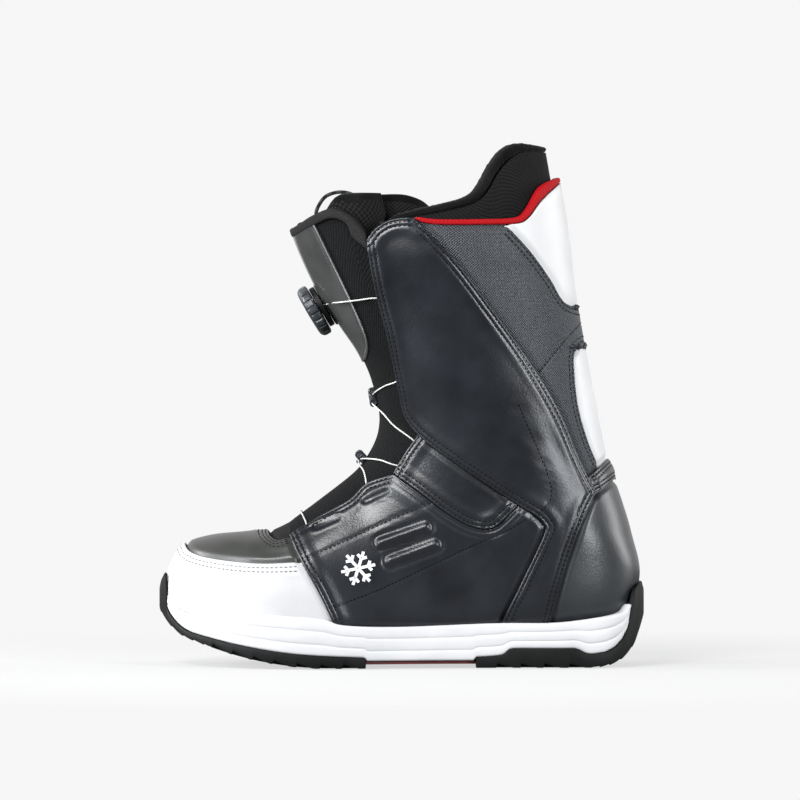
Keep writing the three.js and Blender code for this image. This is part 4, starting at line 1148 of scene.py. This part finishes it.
def outsoleRows(stations, low, top, end, name):
    (lateral, inLateral), (medial, inMedial) = planAt(stations, planLateral), planAt(stations, planMedial)
    crest, crestHeight = (-152, 58) if end < 0 else (153.8, 53)
    inner, innerHeight = (-150.6, 52) if end < 0 else (150, 50)

    def half(k, points, inward):
        # rows up one wall, from the ground to the inner top edge
        x, nx = stations[k], max(abs(inward[k][0]), 0.2)
        past = max(0.0, (crest - x) * end * -1) / nx
        within = max(0.0, (inner - x) * end * -1) / nx
        crown = crestHeight if past > 0 else top[k]
        back = innerHeight if within > 0 else top[k]
        height = top[k] - low[k]
        steps = [(0.9, low[k]), (0.25, low[k] + 0.25), (0, low[k] + min(0.9, height * .4)),
                 (0, low[k] + height * .5), (0, top[k] - min(.8, height * .3)), (0.25, top[k] - 0.2),
                 (max(0.8, past), crown), (max(2.4, within), back),
                 (max(3.2, within + .3), max(low[k] + 2.4, back - 8))]
        return [[*(points[k] + inward[k] * d), z] for d, z in steps]

    across = [.06, .075, .2, .30, .305, .345, .35, .44, .5, .56, .65, .655, .695, .70, .8, .925, .94]
    ground = np.minimum(treadLine(stations, 0), low)

    def rows(k):
        a, b = half(k, lateral, inLateral), half(k, medial, inMedial)
        floorRow = []
        for f in across:
            channel = 1.8 if .302 < f < .348 or .652 < f < .698 else 0
            foot = ground[k] if .07 < f < .93 else low[k]
            p = lateral[k] * (1 - f) + medial[k] * f
            floorRow.append([*p, foot + min(channel, (top[k] - foot) * .5)])
        roof = [[*(lateral[k] * (1 - f) + medial[k] * f), max(low[k] + 2.6, min(a[-1][2], b[-1][2]))]
                for f in (.8, .5, .2)]
        return a[::-1] + floorRow + b + roof

    obj = loftSole(name, stations, rows)
    flatShadeSharp(obj)
    return finishPiece(obj, "rubber", "black_rubber", "boot", name)


def buildMidsole():
    stations = np.unique(np.round(np.concatenate([np.linspace(-150, -140, 14), np.linspace(-140, 138, 170),
                                                  np.linspace(138, 146.8, 12)]), 3))
    low = np.where(stations < 0, np.interp(stations, rubberTop[4:, 0], rubberTop[4:, 1]),
                   np.interp(stations, heelTop[:16, 0], heelTop[:16, 1]))
    low = np.where((stations > tread["end"]) & (stations < 47.4), 4.7, low + 0.1)
    top = np.interp(stations, soleTop[:, 0], soleTop[:, 1])
    low = np.minimum(low, top - 0.6)
    (lateral, inLateral), (medial, inMedial) = planAt(stations, planLateral), planAt(stations, planMedial)
    shares = [.10, .22, .27, .29, .31, .36, .48, .58, .63, .65, .67, .72, .82, .9]
    grooves = {.29: .55, .27: .25, .31: .25, .65: .55, .63: .25, .67: .25}

    def half(k, points, inward):
        height = top[k] - low[k]
        steps = [(2.2, low[k]), (1.1, low[k] + .3), (.8, low[k] + min(1.2, height * .08))]
        steps += [(.8 - .35 * math.sin(math.pi * f) + grooves.get(f, 0) * min(1, height / 14), low[k] + height * f)
                  for f in shares]
        steps += [(.9, top[k] - .8), (1.5, top[k] - .2), (2.4, top[k]), (7, top[k] - .3),
                  (10, max(min(20.5, top[k] - 1), low[k] + .4))]
        return [[*(points[k] + inward[k] * d), z] for d, z in steps]

    def rows(k):
        a, b = half(k, lateral, inLateral), half(k, medial, inMedial)
        under = [[*(lateral[k] * (1 - f) + medial[k] * f), low[k]] for f in (.1, .3, .5, .7, .9)]
        floorTop = [[*(lateral[k] * (1 - f) + medial[k] * f), a[-1][2]] for f in (.8, .5, .2)]
        return a[::-1] + under + b + floorTop

    obj = loftSole("midsole", stations, rows)
    return finishPiece(obj, "whiteFoam", "white_foam", "boot", "midsole")


buildOutsoles()
buildMidsole()
print("sole ready")


# tongue, shield, binding
tongueLayer = (2.5, 2.4)  # depth below the skin and thickness


def angleAlong(line, rowsV, extra=0.0):
    # the half angle of a side-view line at each v
    v, angle = locate(line, 1)
    order = np.argsort(v)
    return np.interp(rowsV, v[order], angle[order]) + extra


def buildTongue():
    under = join(spline([[-79, 82], [-71, 86]]), seams["eyestay"][2:], seams["cuffFront"])
    vLow = locate(np.array([[-76, 88.0]]), 1)[0][0]
    vHigh = locate(np.array([[-78.5, 275.5]]), 1)[0][0]
    rowsV = np.linspace(vLow, vHigh, 190)
    half = angleAlong(under, rowsV, 0.10)
    # the last rows follow the binding's arch
    archV, archAngle = locate(seams["bindingInner"], 1)
    order = np.argsort(archAngle)
    columns = 75
    share = np.linspace(-1, 1, columns)
    v = np.repeat(rowsV[:, None], columns, 1)
    angle = share[None] * half[:, None]
    limit = np.interp(np.abs(angle), archAngle[order], archV[order])
    start = locate(np.array([[-40, 240.0]]), 1)[0][0]
    stretch = (rowsV[:, None] - start) / (rowsV[-1] - start)
    v = np.where(rowsV[:, None] > start, start + stretch * (limit - start), v)
    here = skin(v, angle, tongueLayer[0])
    bend = ripple(here, 30, 4.4) * 0.3
    here = here + outward * normals(v, angle) * bend[..., None]
    acrossLength = lengths(here[90])
    obj = gridMesh("tongue_cloth", here, acrossLength - acrossLength[-1] / 2, lengths(here[:, columns // 2]))
    faceOut(mend(obj))
    thicken(obj, tongueLayer[1])
    finishPiece(obj, "knit", "knit", None, "tongue_lower", "tongue_upper")
    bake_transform(obj)


shield = {"depth": 0.5, "wall": 1.5, "rim": 1.6, "piping": 0.42}


def buildShield():
    edgeV, edgeAngle = locate(seams["shieldEdge"], 1)
    low, high = edgeV.min(), edgeV.max()
    order = np.argsort(edgeV)
    rowsV = low + (high - low) * (1 - np.cos(np.linspace(0, 1, 90) * math.pi)) / 2
    half = np.interp(rowsV, edgeV[order], edgeAngle[order])
    half = half * np.sqrt(np.clip((rowsV - low) / (0.05 * (high - low)), 0.02, 1))
    archV, archAngle = locate(seams["bindingInner"], 1)
    archOrder = np.argsort(archAngle)
    columns = 71
    share = np.sin(np.linspace(-1, 1, columns) * math.pi / 2)
    angle = share[None] * half[:, None]
    top = np.interp(np.abs(angle), archAngle[archOrder], archV[archOrder])
    v = low + (rowsV[:, None] - low) / (high - low) * (top - low)
    edgeGap = (1 - np.abs(share))[None] * half[:, None] * 50
    sink = shield["rim"] * (1 - smooth(edgeGap, 0, 3.0)) * 0.6
    here = skin(v, angle, shield["depth"] + sink)
    acrossLength = lengths(here[45])
    obj = gridMesh("tongue_shield", here, acrossLength - acrossLength[-1] / 2, lengths(here[:, columns // 2]))
    faceOut(mend(obj))
    thicken(obj, shield["wall"])
    finishPiece(obj, "shieldGloss", "gloss_shield", "tongue", "tongue_shield")
    for name, sign in sides:
        line = lifted(edgeV, edgeAngle * sign, np.full(len(edgeV), -1.0))
        tube("shield_piping_" + name, line, shield["piping"], "paleThread", "grey_plastic", "tongue")


def tube(name, line, radius, material, slot, body, *nodes, sides=8):
    # a round cord along a line, ends closed
    line = np.asarray(line)
    along = np.gradient(line, axis=0)
    along /= np.maximum(np.linalg.norm(along, axis=1, keepdims=True), 1e-9)
    normal = np.zeros_like(line)
    way = np.cross(along[0], [0.3, 0.2, 0.9])
    for k, direction in enumerate(along):
        way = way - direction * way.dot(direction)
        way = way / np.linalg.norm(way)
        normal[k] = way
    side = np.cross(along, normal)
    turn = np.linspace(0, 2 * math.pi, sides + 1)
    ring = line[None] + radius * (np.cos(turn)[:, None, None] * normal[None]
                                + np.sin(turn)[:, None, None] * side[None])
    obj = gridMesh(name, ring, lengths(line), turn * radius)
    mend(obj, doubles=1e-6, caps=True, recalc=True)
    return finishPiece(obj, material, slot, body, *nodes)


def edgeRoll(name, outer, inner, centre, outside, inside, settings, body, nodes, bulge=0.6, rows=28):
    # a closed rounded band between two lines of the skin; outside and inside are its depths
    even = np.linspace(0, 1, settings.get("columns", 241))
    edgeOut, edgeIn = resample(acrossFront(outer, centre), even), resample(acrossFront(inner, centre), even)
    turn = np.linspace(0, 2 * math.pi, rows + 1)
    c, s = np.cos(turn), np.sin(turn)
    squareC = np.sign(c) * np.abs(c) ** bulge
    squareS = np.sign(s) * np.abs(s) ** bulge
    v, angle = ground((edgeOut + edgeIn) / 2)
    n = outward * normals(v, angle)
    middle = (outside + inside) / 2
    thick = (inside - outside) / 2
    depthOut = skin(v, angle, middle) - skin(v, angle)
    mid, half = (edgeOut + edgeIn) / 2 + depthOut, (edgeOut - edgeIn) / 2
    ring = mid[None] + squareC[:, None, None] * n[None] * thick + squareS[:, None, None] * half[None]
    ends = settings.get("taper", 0)
    if ends:
        run = lengths(mid)
        fade = smooth(run, 0, ends) * smooth(run[-1] - run, 0, ends)
        ring = mid[None] + (ring - mid[None]) * np.sqrt(np.maximum(fade, .04))[None, :, None]
    if "fuzz" in settings:
        flat = ring.reshape(-1, 3)
        shake = np.array([noise.noise(Vector(p * 0.9)) + .6 * noise.noise(Vector(p * 2.1)) for p in flat])
        push = ring - mid[None]
        push /= np.maximum(np.linalg.norm(push, axis=2, keepdims=True), 1e-6)
        ring = ring + push * (shake * settings["fuzz"]).reshape(ring.shape[:2])[..., None]
        ring[-1] = ring[0]
    girth = 4 * (thick + np.linalg.norm(half, axis=1).mean())
    obj = gridMesh(name, ring, lengths(mid), turn / (2 * math.pi) * girth)
    mend(obj, doubles=1e-6, caps=True, recalc=True)
    return finishPiece(obj, settings["material"], settings["slot"], body, *nodes)


def buildBinding():
    outer, inner = seams["bindingOuter"][::-1], seams["bindingInner"][::-1]
    edgeRoll("tongue_binding", outer, inner, 0, 0.1, 5.6, {"material": "binding", "slot": "grey_plastic"},
             "tongue", ["tongue_binding"])


def buildTrim():
    edgeRoll("collar_trim", seams["trimTop"], seams["trimLow"], math.pi, -0.2, 5.4,
             {"material": "redCloth", "slot": "red_cloth", "taper": 5}, "boot", ["collar_trim"])


buildTongue()
buildShield()
buildBinding()
buildTrim()
print("tongue ready")


# lace and its guides
laceHalf = {
    "upper": [[-38, 232, -.9], [-28, 233.5, .1], [-17.5, 235, 1.9], [-12.5, 234, 3.7], [-9.5, 226, 3.7],
              [-5.5, 210, 3.7], [-1.5, 195, 3.7], [-1, 187, 3.7], [-5, 182.5, 2.4], [-12, 179.5, 1.8]],
    "middle": [[-12.5, 161.5, 1.8], [-6, 154.5, 1.8], [5, 146.5, 2.2], [10.5, 141.5, 3.7], [9.5, 134.5, 3.7],
               [3.5, 129, 3.3], [-6, 130, 1.8], [-15, 133, 1.8]],
    "lower": [[-24.5, 125.5, 1.8], [-23, 117.5, 2.4], [-24, 110.5, 3.7], [-34, 101.5, 3.7], [-48, 94, 3.7],
              [-58.5, 90, 3.4], [-61.5, 94.5, 1.7], [-63.5, 98.2, 1.7]]}
dialEnd = [[-49.3, 11, 229.6], [-46.5, 18, 231.2]]
laceSize = {"radius": 0.5, "per": 12, "split": 4}


def laceRun(name, side):
    rows = np.array(laceHalf[name])
    v, angle = locate(rows[:, :2], side)
    return skin(v, angle, rows[:, 2])


def tongueHigh(level):
    return np.array([[-19.5 - level, 0, 170.5]])


def tongueLow(level):
    return np.array([[-27.5 - .7 * level, 0, 129.8 + .7 * level]])


def smoothRun(points, per=None):
    # centripetal curve through the points, as a wire under tension lies
    points = np.asarray(points, float)
    knots = np.concatenate([[0], np.cumsum(np.sqrt(np.linalg.norm(np.diff(points, axis=0), axis=1)))])
    m = np.gradient(points, knots, axis=0)
    out, per = [], per or laceSize["per"]
    for k in range(len(points) - 1):
        t = np.linspace(0, 1, per, endpoint=False)[:, None]
        h = knots[k + 1] - knots[k]
        out.append((2 * t ** 3 - 3 * t ** 2 + 1) * points[k] + (t ** 3 - 2 * t ** 2 + t) * h * m[k]
                   + (3 * t ** 2 - 2 * t ** 3) * points[k + 1] + (t ** 3 - t ** 2) * h * m[k + 1])
    return np.concatenate(out + [points[-1:]])


def buildLace():
    for name, side, level in (("lateral", -1, -.4), ("medial", 1, 1.6)):
        ends = np.array([[x, y * side, z] for x, y, z in dialEnd])
        middle = laceRun("middle", -side)
        high = np.concatenate([ends, laceRun("upper", side), tongueHigh(level), middle[:laceSize["split"] + 1]])
        obj = tube("lace_high_" + name, smoothRun(high), laceSize["radius"], "laceCoat", "steel", None, "lace")
        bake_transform(obj)
    low = np.concatenate([laceRun("middle", 1)[laceSize["split"]:], tongueLow(-.4), laceRun("lower", -1),
                          [[-65, 0, 98.6]], laceRun("lower", 1)[::-1], tongueLow(1.6),
                          laceRun("middle", -1)[laceSize["split"]:][::-1]])
    tube("lace_low", smoothRun(low), laceSize["radius"], "laceCoat", "steel", "boot", "lace")


guideLook = {"radius": 1.55, "bevel": 2.2, "eyelet": 1.9, "eyeletHeight": 3.4,
              "spans": {"upper": (3, 8), "middle": (3, 5), "lower": (2, 5)}}


def buildGuides():
    for name, side in sides:
        for level, (start, end) in guideLook["spans"].items():
            line = smoothRun(laceRun(level, side)[start:end], 8)
            node = f"lace_guide_{level}_{name}"
            tube(node, line, guideLook["radius"], "plastic", "plastic", "boot", node, sides=12)
    for node, crossing, body, tilt, size in (
            ("tongue_guide_upper", [-18, 0, 171.2], "tongue", -8, (5.8, 14, 12.5)),
            ("tongue_guide_lower", [-24.8, 0, 132.2], "boot", -42, (5.6, 14, 11.5))):
        bm = bmesh.new()
        bmesh.ops.create_cube(bm, size=1)
        bmesh.ops.scale(bm, vec=Vector(size), verts=bm.verts)
        bmesh.ops.bevel(bm, geom=bm.edges[:] + bm.verts[:], offset=guideLook["bevel"], segments=4, profile=0.5,
                        affect="EDGES", material=-1)
        # two eyelets on each flank, where the wire goes in
        for flank in (-1, 1):
            for height in (-guideLook["eyeletHeight"], guideLook["eyeletHeight"]):
                eyelet = bmesh.ops.create_circle(bm, cap_ends=True, segments=20,
                                                   radius=guideLook["eyelet"])["verts"]
                bmesh.ops.rotate(bm, verts=eyelet, matrix=Matrix.Rotation(math.pi / 2, 3, "X"))
                bmesh.ops.translate(bm, verts=eyelet, vec=(-.4, flank * (size[1] / 2 - .2), height))
                faces = [f for f in bm.faces if all(x in eyelet for x in f.verts)]
                grown = bmesh.ops.extrude_face_region(bm, geom=faces)
                moved = [x for x in grown["geom"] if isinstance(x, bmesh.types.BMVert)]
                bmesh.ops.translate(bm, verts=moved, vec=(0, flank * 1.0, 0))
                tops = [f for f in grown["geom"] if isinstance(f, bmesh.types.BMFace)]
                bmesh.ops.inset_region(bm, faces=tops, thickness=.8, depth=-.9)
        bmesh.ops.recalc_face_normals(bm, faces=bm.faces)
        bmesh.ops.rotate(bm, verts=bm.verts, matrix=Matrix.Rotation(math.radians(tilt), 3, "Y"))
        bmesh.ops.translate(bm, verts=bm.verts, vec=crossing)
        bmesh.ops.scale(bm, vec=(mm, mm, mm), verts=bm.verts)
        obj = toObject(node, bm)
        obj.data.polygons.foreach_set("use_smooth", np.ones(len(obj.data.polygons), bool))
        flatShadeSharp(obj, 50)
        finishPiece(obj, "dialPlastic", "plastic", body, node)


# dial
dial = {"centre": (-48.2, 0, 230.7), "axis": (-0.862, 0, -0.507), "teeth": 22, "toothDepth": 0.8,
        "steps": 160, "gripRadius": 14.5, "gripFrom": 6.2, "gripTo": 12.8, "gripShare": 0.28, "shoulder": 11.4}
dialTurn = Vector((0, 0, 1)).rotation_difference(Vector(dial["axis"]).normalized()).to_matrix().to_4x4()
dialPlace = Matrix.Scale(mm, 4) @ Matrix.Translation(dial["centre"]) @ dialTurn


def turnedPiece(name, profile, material, slot, body, nodes, steps=None, carve=None):
    # a turned shape: its half outline, radius and height, spun about the dial's axis
    steps = steps or dial["steps"]
    bm = bmesh.new()
    spots = [bm.verts.new((r, 0, h)) for r, h in profile]
    edges = [bm.edges.new(pair) for pair in zip(spots, spots[1:] + spots[:1])]
    bmesh.ops.spin(bm, geom=spots + edges, cent=(0, 0, 0), axis=(0, 0, 1), angle=2 * math.pi, steps=steps,
                   use_merge=True)
    bmesh.ops.remove_doubles(bm, verts=bm.verts, dist=1e-4)
    if carve:
        for x in bm.verts:
            x.co = carve(x.co)
    bmesh.ops.recalc_face_normals(bm, faces=bm.faces)
    bmesh.ops.transform(bm, matrix=dialPlace, verts=bm.verts)
    obj = toObject(name, bm)
    obj.data.polygons.foreach_set("use_smooth", np.ones(len(obj.data.polygons), bool))
    flatShadeSharp(obj, 40)
    return finishPiece(obj, material, slot, body, *nodes)


def carveGrip(co):
    r = math.hypot(co.x, co.y)
    if r < dial["gripRadius"] or not dial["gripFrom"] < co.z < dial["gripTo"]:
        return co
    wave = (math.atan2(co.y, co.x) / (2 * math.pi) * dial["teeth"]) % 1
    dip = dial["toothDepth"] * (1 if wave < dial["gripShare"] else 0)
    if co.z > dial["shoulder"]:
        dip *= 0.5
    return Vector((co.x * (r - dip) / r, co.y * (r - dip) / r, co.z))


def buildDial():
    base = [[1.8, -2.6], [14.2, -2.6], [14.9, -1.6], [15, 0.4], [14.5, 1.0], [13.8, 1.2], [1.8, 1.2]]
    turnedPiece("dial_base", base, "plastic", "plastic", "tongue", ["dial_base"])
    housing = [[1.8, 1.5], [13.3, 1.5], [13.9, 1.9], [13.9, 4.6], [13.5, 5.0], [9.4, 5.0], [9.4, 2.4], [1.8, 2.4]]
    turnedPiece("dial_housing", housing, "plastic", "plastic", "tongue", ["dial_housing"])
    knob = [[4.4, 5.4], [15.2, 5.4], [16.3, 5.7], [17, 6.3], [17.2, 7], [17.2, 8.2], [17.2, 9.4], [17.1, 10.2],
            [16.8, 10.9], [16.2, 11.7], [15.4, 12.3], [14.3, 12.8], [13, 13], [12.2, 12.9], [11.6, 12.5],
            [11.6, 11.3], [3.9, 11.3], [3.9, 9.5], [4.4, 9.5]]
    turnedPiece("dial_knob", knob, "dialPlastic", "plastic", "knob", ["dial_knob"], carve=carveGrip)
    cap = [[0, 11.6], [10.8, 11.6], [11.3, 11.8], [11.3, 12.6], [11.0, 12.9], [10.2, 13.1], [9.4, 13.1],
           [9.2, 12.8], [8.6, 12.8], [8.4, 13.1], [4, 13.3], [0, 13.35]]
    turnedPiece("dial_cap", cap, "greyPlastic", "grey_plastic", "knob", ["dial_cap"])


buildLace()
buildGuides()
buildDial()
print("lace and dial ready")


# liner
liner = {"depth": 5.9, "foot": 5.0, "shaft": 10.0}


def linerInner(v):
    return liner["depth"] + liner["foot"] + (liner["shaft"] - liner["foot"]) * smooth(v * lastSection, 6, 13)


def slotHalf(v):
    # half angle of the opening that the liner's tongue fills
    line = np.concatenate([[[-30, 146], [-18, 153], [6, 168]], seams["cuffFront"][24:] + [7, 0], [[-8, 290]]])
    lineV, angle = locate(line, 1)
    angle[0] = 0
    order = np.argsort(lineV)
    return np.interp(v, lineV[order], angle[order])


def wrapLiner(name, lowV, topLine, rows, settings, body, nodes, topDepth=0.0):
    # both faces of the padding from the slot round the back, closed over its rims
    columns = 97
    share = np.linspace(-1, 1, columns)
    topV, topAngle = locate(topLine, 1)
    order = np.argsort(topAngle)
    along = np.linspace(0, 1, rows)
    ceiling = np.full(columns, topV[order][0])
    for _ in range(8):
        gapAngle = slotHalf(ceiling)
        angleTop = np.sign(share) * (gapAngle + (math.pi - gapAngle) * (1 - np.abs(share)))
        ceiling = np.interp(np.abs(angleTop), topAngle[order], topV[order])
    v = lowV + along[:, None] * (ceiling[None] - lowV)
    gapAngle = slotHalf(v)
    side = np.where(share == 0, 1, np.sign(share))[None]
    angle = side * (gapAngle + (math.pi - gapAngle) * (1 - np.abs(share))[None])
    outer = skin(v, angle, liner["depth"])
    inner = skin(v, angle, linerInner(v) - 0.3)
    rim = (outer[-1] + inner[-1]) / 2
    lift = (outer[-1] - outer[-3])
    lift /= np.maximum(np.linalg.norm(lift, axis=1, keepdims=True), 1e-6)
    cap = [outer[-1] * .97 + inner[-1] * .03 + lift * .8, outer[-1] * .75 + inner[-1] * .25 + lift * 2.0,
           rim + lift * 2.4, outer[-1] * .25 + inner[-1] * .75 + lift * 2.0,
           outer[-1] * .03 + inner[-1] * .97 + lift * .8]
    cap = np.array(cap) * topDepth + np.array([outer[-1], outer[-1] * .75 + inner[-1] * .25, rim,
                                               outer[-1] * .25 + inner[-1] * .75, inner[-1]]) * (1 - topDepth)
    points = np.concatenate([outer, cap, inner[::-1], outer[:1]])
    obj = gridMesh(name, points, share * 150, lengths(points[:, columns // 4]))
    mend(obj, doubles=1e-5, caps=True, recalc=True)
    finishPiece(obj, settings["material"], settings["slot"], body, *nodes)
    return obj


def buildLiner():
    wrapLiner("liner_shell", 0.05, seams["fleeceEdge"], 120, {"material": "linerCloth", "slot": "knit"}, "boot",
              ["liner_shell"])
    roll = edgeRoll("liner_collar", seams["linerEdge"], seams["fleeceEdge"], math.pi, 5.4, 16.4,
                    {"material": "fleece", "slot": "fleece", "taper": 9, "fuzz": 0.55}, "boot", ["liner_collar"],
                    bulge=0.75, rows=44)


fleeceBand = [-76, -60, -50, -44, -10, 6, 18], [274, 281, 289, 295.6, 296.4, 295, 291]


def buildWings():
    # the liner tongue's thin side wings, which lie inside the liner's collar
    top = resample(spline([[-30, 298.6], [-18, 299.2], [-8, 299.5], [0, 299.1], [8, 297.3], [14, 294.9],
                            [18.5, 291.6]]),
                   np.linspace(0, 1, 40))
    low = resample(np.array([[-32, 262], [-6, 258], [9, 258]], float), np.linspace(0, 1, 40))
    up = np.linspace(0, 1, 36)[:, None, None]
    grid = low[None] * (1 - up) + top[None] * up
    for name, side in sides:
        v, angle = locate(grid.reshape(-1, 2), side)
        v, angle = v.reshape(36, 40), angle.reshape(36, 40)
        thin = 1 - smooth(np.linspace(0, 1, 40), 0.8, 1)[None]
        outer, inner = skin(v, angle, 16.8), skin(v, angle, 17.4 + 3.2 * thin)
        lift = outer[-1] - outer[-2]
        lift /= np.linalg.norm(lift, axis=1, keepdims=True)
        cap = np.array([outer[-1] * (1 - f) + inner[-1] * f + lift * h for f, h in ((.15, .8), (.5, 1.2), (.85, .8))])
        points = np.concatenate([outer, cap, inner[::-1], outer[:1]])
        obj = gridMesh("liner_wing_" + name, points, np.linspace(0, 36, 40), lengths(points[:, 20]))
        mend(obj, doubles=1e-5, caps=True, recalc=True)
        finishPiece(obj, "linerCloth", "fleece", "inner_tongue")
        obj.data.materials.append(materials["fleece"])
        for face in obj.data.polygons:
            if face.center.z / mm > np.interp(face.center.x / mm, *fleeceBand):
                face.material_index = 1


def buildLinerTongue():
    lowV = locate(np.array([[-17.5, 156.0]]), 1)[0][0]
    topLine = np.array([[-80, 262], [-72, 268], [-63, 276], [-55.5, 285], [-50.5, 293], [-45, 297.8], [-36, 298.9],
                        [-22, 299], [-12, 298.6], [-9.6, 297.5], [-9, 294]])
    topV, topAngle = locate(spline(topLine), 1)
    topAngle[0] = 0
    order = np.argsort(topAngle)
    columns, rows = 61, 110
    share = np.sin(np.linspace(-1, 1, columns) * math.pi / 2)
    along = np.linspace(0, 1, rows)
    base = lowV + along * (topV.max() - lowV)
    half = np.maximum(slotHalf(base) - 0.06, 0.25)
    angle = share[None] * half[:, None]
    top = np.interp(np.abs(angle), topAngle[order], topV[order])
    v = lowV + along[:, None] * (top - lowV)
    thinner = 0.5 * (1 - smooth((1 - np.abs(share)), 0, 0.16))[None]
    outer = skin(v, angle, 6.1 + (linerInner(v) - 6.1) * thinner)
    inner = skin(v, angle, linerInner(v) - (linerInner(v) - 6.1) * thinner * .9)
    lift = outer[-1] - outer[-3]
    lift /= np.maximum(np.linalg.norm(lift, axis=1, keepdims=True), 1e-6)
    mixes = [(.06, .9), (.22, 2.0), (.5, 2.6), (.78, 2.0), (.94, .9)]
    cap = np.array([outer[-1] * (1 - f) + inner[-1] * f + lift * h for f, h in mixes])
    points = np.concatenate([outer, cap, inner[::-1], outer[:1]])
    uAcross = np.linspace(-60, 60, columns)
    obj = gridMesh("liner_tongue", points, uAcross, lengths(points[:, columns // 2]))
    mend(obj, doubles=1e-5, caps=True, recalc=True)
    finishPiece(obj, "linerCloth", "fleece", "inner_tongue", "liner_tongue")
    obj.data.materials.append(materials["fleece"])
    # fleece runs over the top edge and down the inner face
    for face in obj.data.polygons:
        centre = face.center / mm
        band = np.interp(centre.x, *fleeceBand)
        if centre.z > band or face.normal.x > 0.25:
            face.material_index = 1


def buildLoop():
    outer = spline([[-54.6, 272], [-55.8, 287], [-54, 294], [-49, 300.5], [-41, 303.3], [-33, 302.6],
                    [-27.5, 299], [-28.5, 292], [-37, 281], [-45, 273]], 10)
    along = np.gradient(outer, axis=0)
    along /= np.linalg.norm(along, axis=1, keepdims=True)
    inward = np.stack([along[:, 1], -along[:, 0]], 1)
    width, thick = 18.0, 2.2
    section = [(-width / 2, .5), (-width / 2 + .4, 0), (-6, 0), (-3, 0), (0, 0), (3, 0), (6, 0),
               (width / 2 - .4, 0), (width / 2, .5), (width / 2, 1.2), (width / 2 - .4, thick), (3, thick),
               (-3, thick), (-width / 2 + .4, thick), (-width / 2, 1.2), (-width / 2, .5)]
    points = np.array([[[p[0] + n[0] * d, y, p[1] + n[1] * d] for p, n in zip(outer, inward)]
                       for y, d in section])
    obj = gridMesh("pull_loop", points, lengths(np.insert(outer, 1, 0, axis=1)), [s[0] for s in section])
    mend(obj, doubles=1e-6, caps=True, recalc=True)
    finishPiece(obj, "webbing", "knit", "inner_tongue", "pull_loop")


buildLiner()
buildLinerTongue()
buildWings()
buildLoop()
print("liner ready")


# a plain snow crystal printed on the quarter
crystal = {"centre": (-27.5, 63.5), "arm": 11.0, "branch": 3.6, "line": 0.95, "height": 0.16, "tilt": 12,
           "knee": 0.58, "lean": 58, "wall": 0.5, "steps": 14}


def buildCrystal():
    for name, side in sides:
        tree = panelTrees["quarter_" + name]
        cx, cz = crystal["centre"]
        bars = []
        for k in range(6):
            turn = math.radians(60 * k + crystal["tilt"])
            tip = (cx + crystal["arm"] * math.cos(turn), cz + crystal["arm"] * math.sin(turn))
            bars.append(((cx, cz), tip))
            bend = crystal["knee"] * crystal["arm"]
            knee = (cx + bend * math.cos(turn), cz + bend * math.sin(turn))
            for lean in (-1, 1):
                way = turn + lean * math.radians(crystal["lean"])
                bars.append((knee, (knee[0] + crystal["branch"] * math.cos(way),
                                    knee[1] + crystal["branch"] * math.sin(way))))
        pieces = []
        for (ax, az), (bx, bz) in bars:
            line = np.array([[ax + (bx - ax) * t, az + (bz - az) * t] for t in
                             np.linspace(0, 1, crystal["steps"])])
            pieces.append(onSide(line, side))
        bm = bmesh.new()
        for points in pieces:
            rows = []
            along = np.gradient(points, axis=0)
            for p, a in zip(points, along):
                near, normal, _, _ = tree.find_nearest(Vector((p * mm).tolist()), 0.006)
                a = Vector(a.tolist()).normalized()
                across = normal.cross(a).normalized()
                lift = near + normal * crystal["height"] * mm
                rows.append([bm.verts.new(lift + across * (crystal["line"] * s * mm)) for s in (-1, 0, 1)])
            for r, q in zip(rows, rows[1:]):
                for k in range(2):
                    bm.faces.new((r[k], r[k + 1], q[k + 1], q[k]))
        obj = toObject("snow_crystal_" + name, bm)
        faceOut(obj)
        thicken(obj, crystal["wall"])
        finishPiece(obj, "whitePrint", "white_leather", "boot")


buildCrystal()

# CAD pieces that keep their shape
keptFinish = {"arch_plate": "redPlate", "shank": "board", "toe_puff": "board", "heel_stiffener": "board",
              "lasting_board": "board", "shell_lining": "knitPlain", "dial_spool": "greyPlastic",
              "dial_screw": "steel", "footbed": "bedFoam"}
for node, finish in keptFinish.items():
    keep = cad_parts[node]
    for k in range(max(1, len(keep.data.materials))):
        if len(keep.data.materials) == 0:
            keep.data.materials.append(materials[finish])
        else:
            keep.data.materials[k] = materials[finish]
print("all pieces ready")
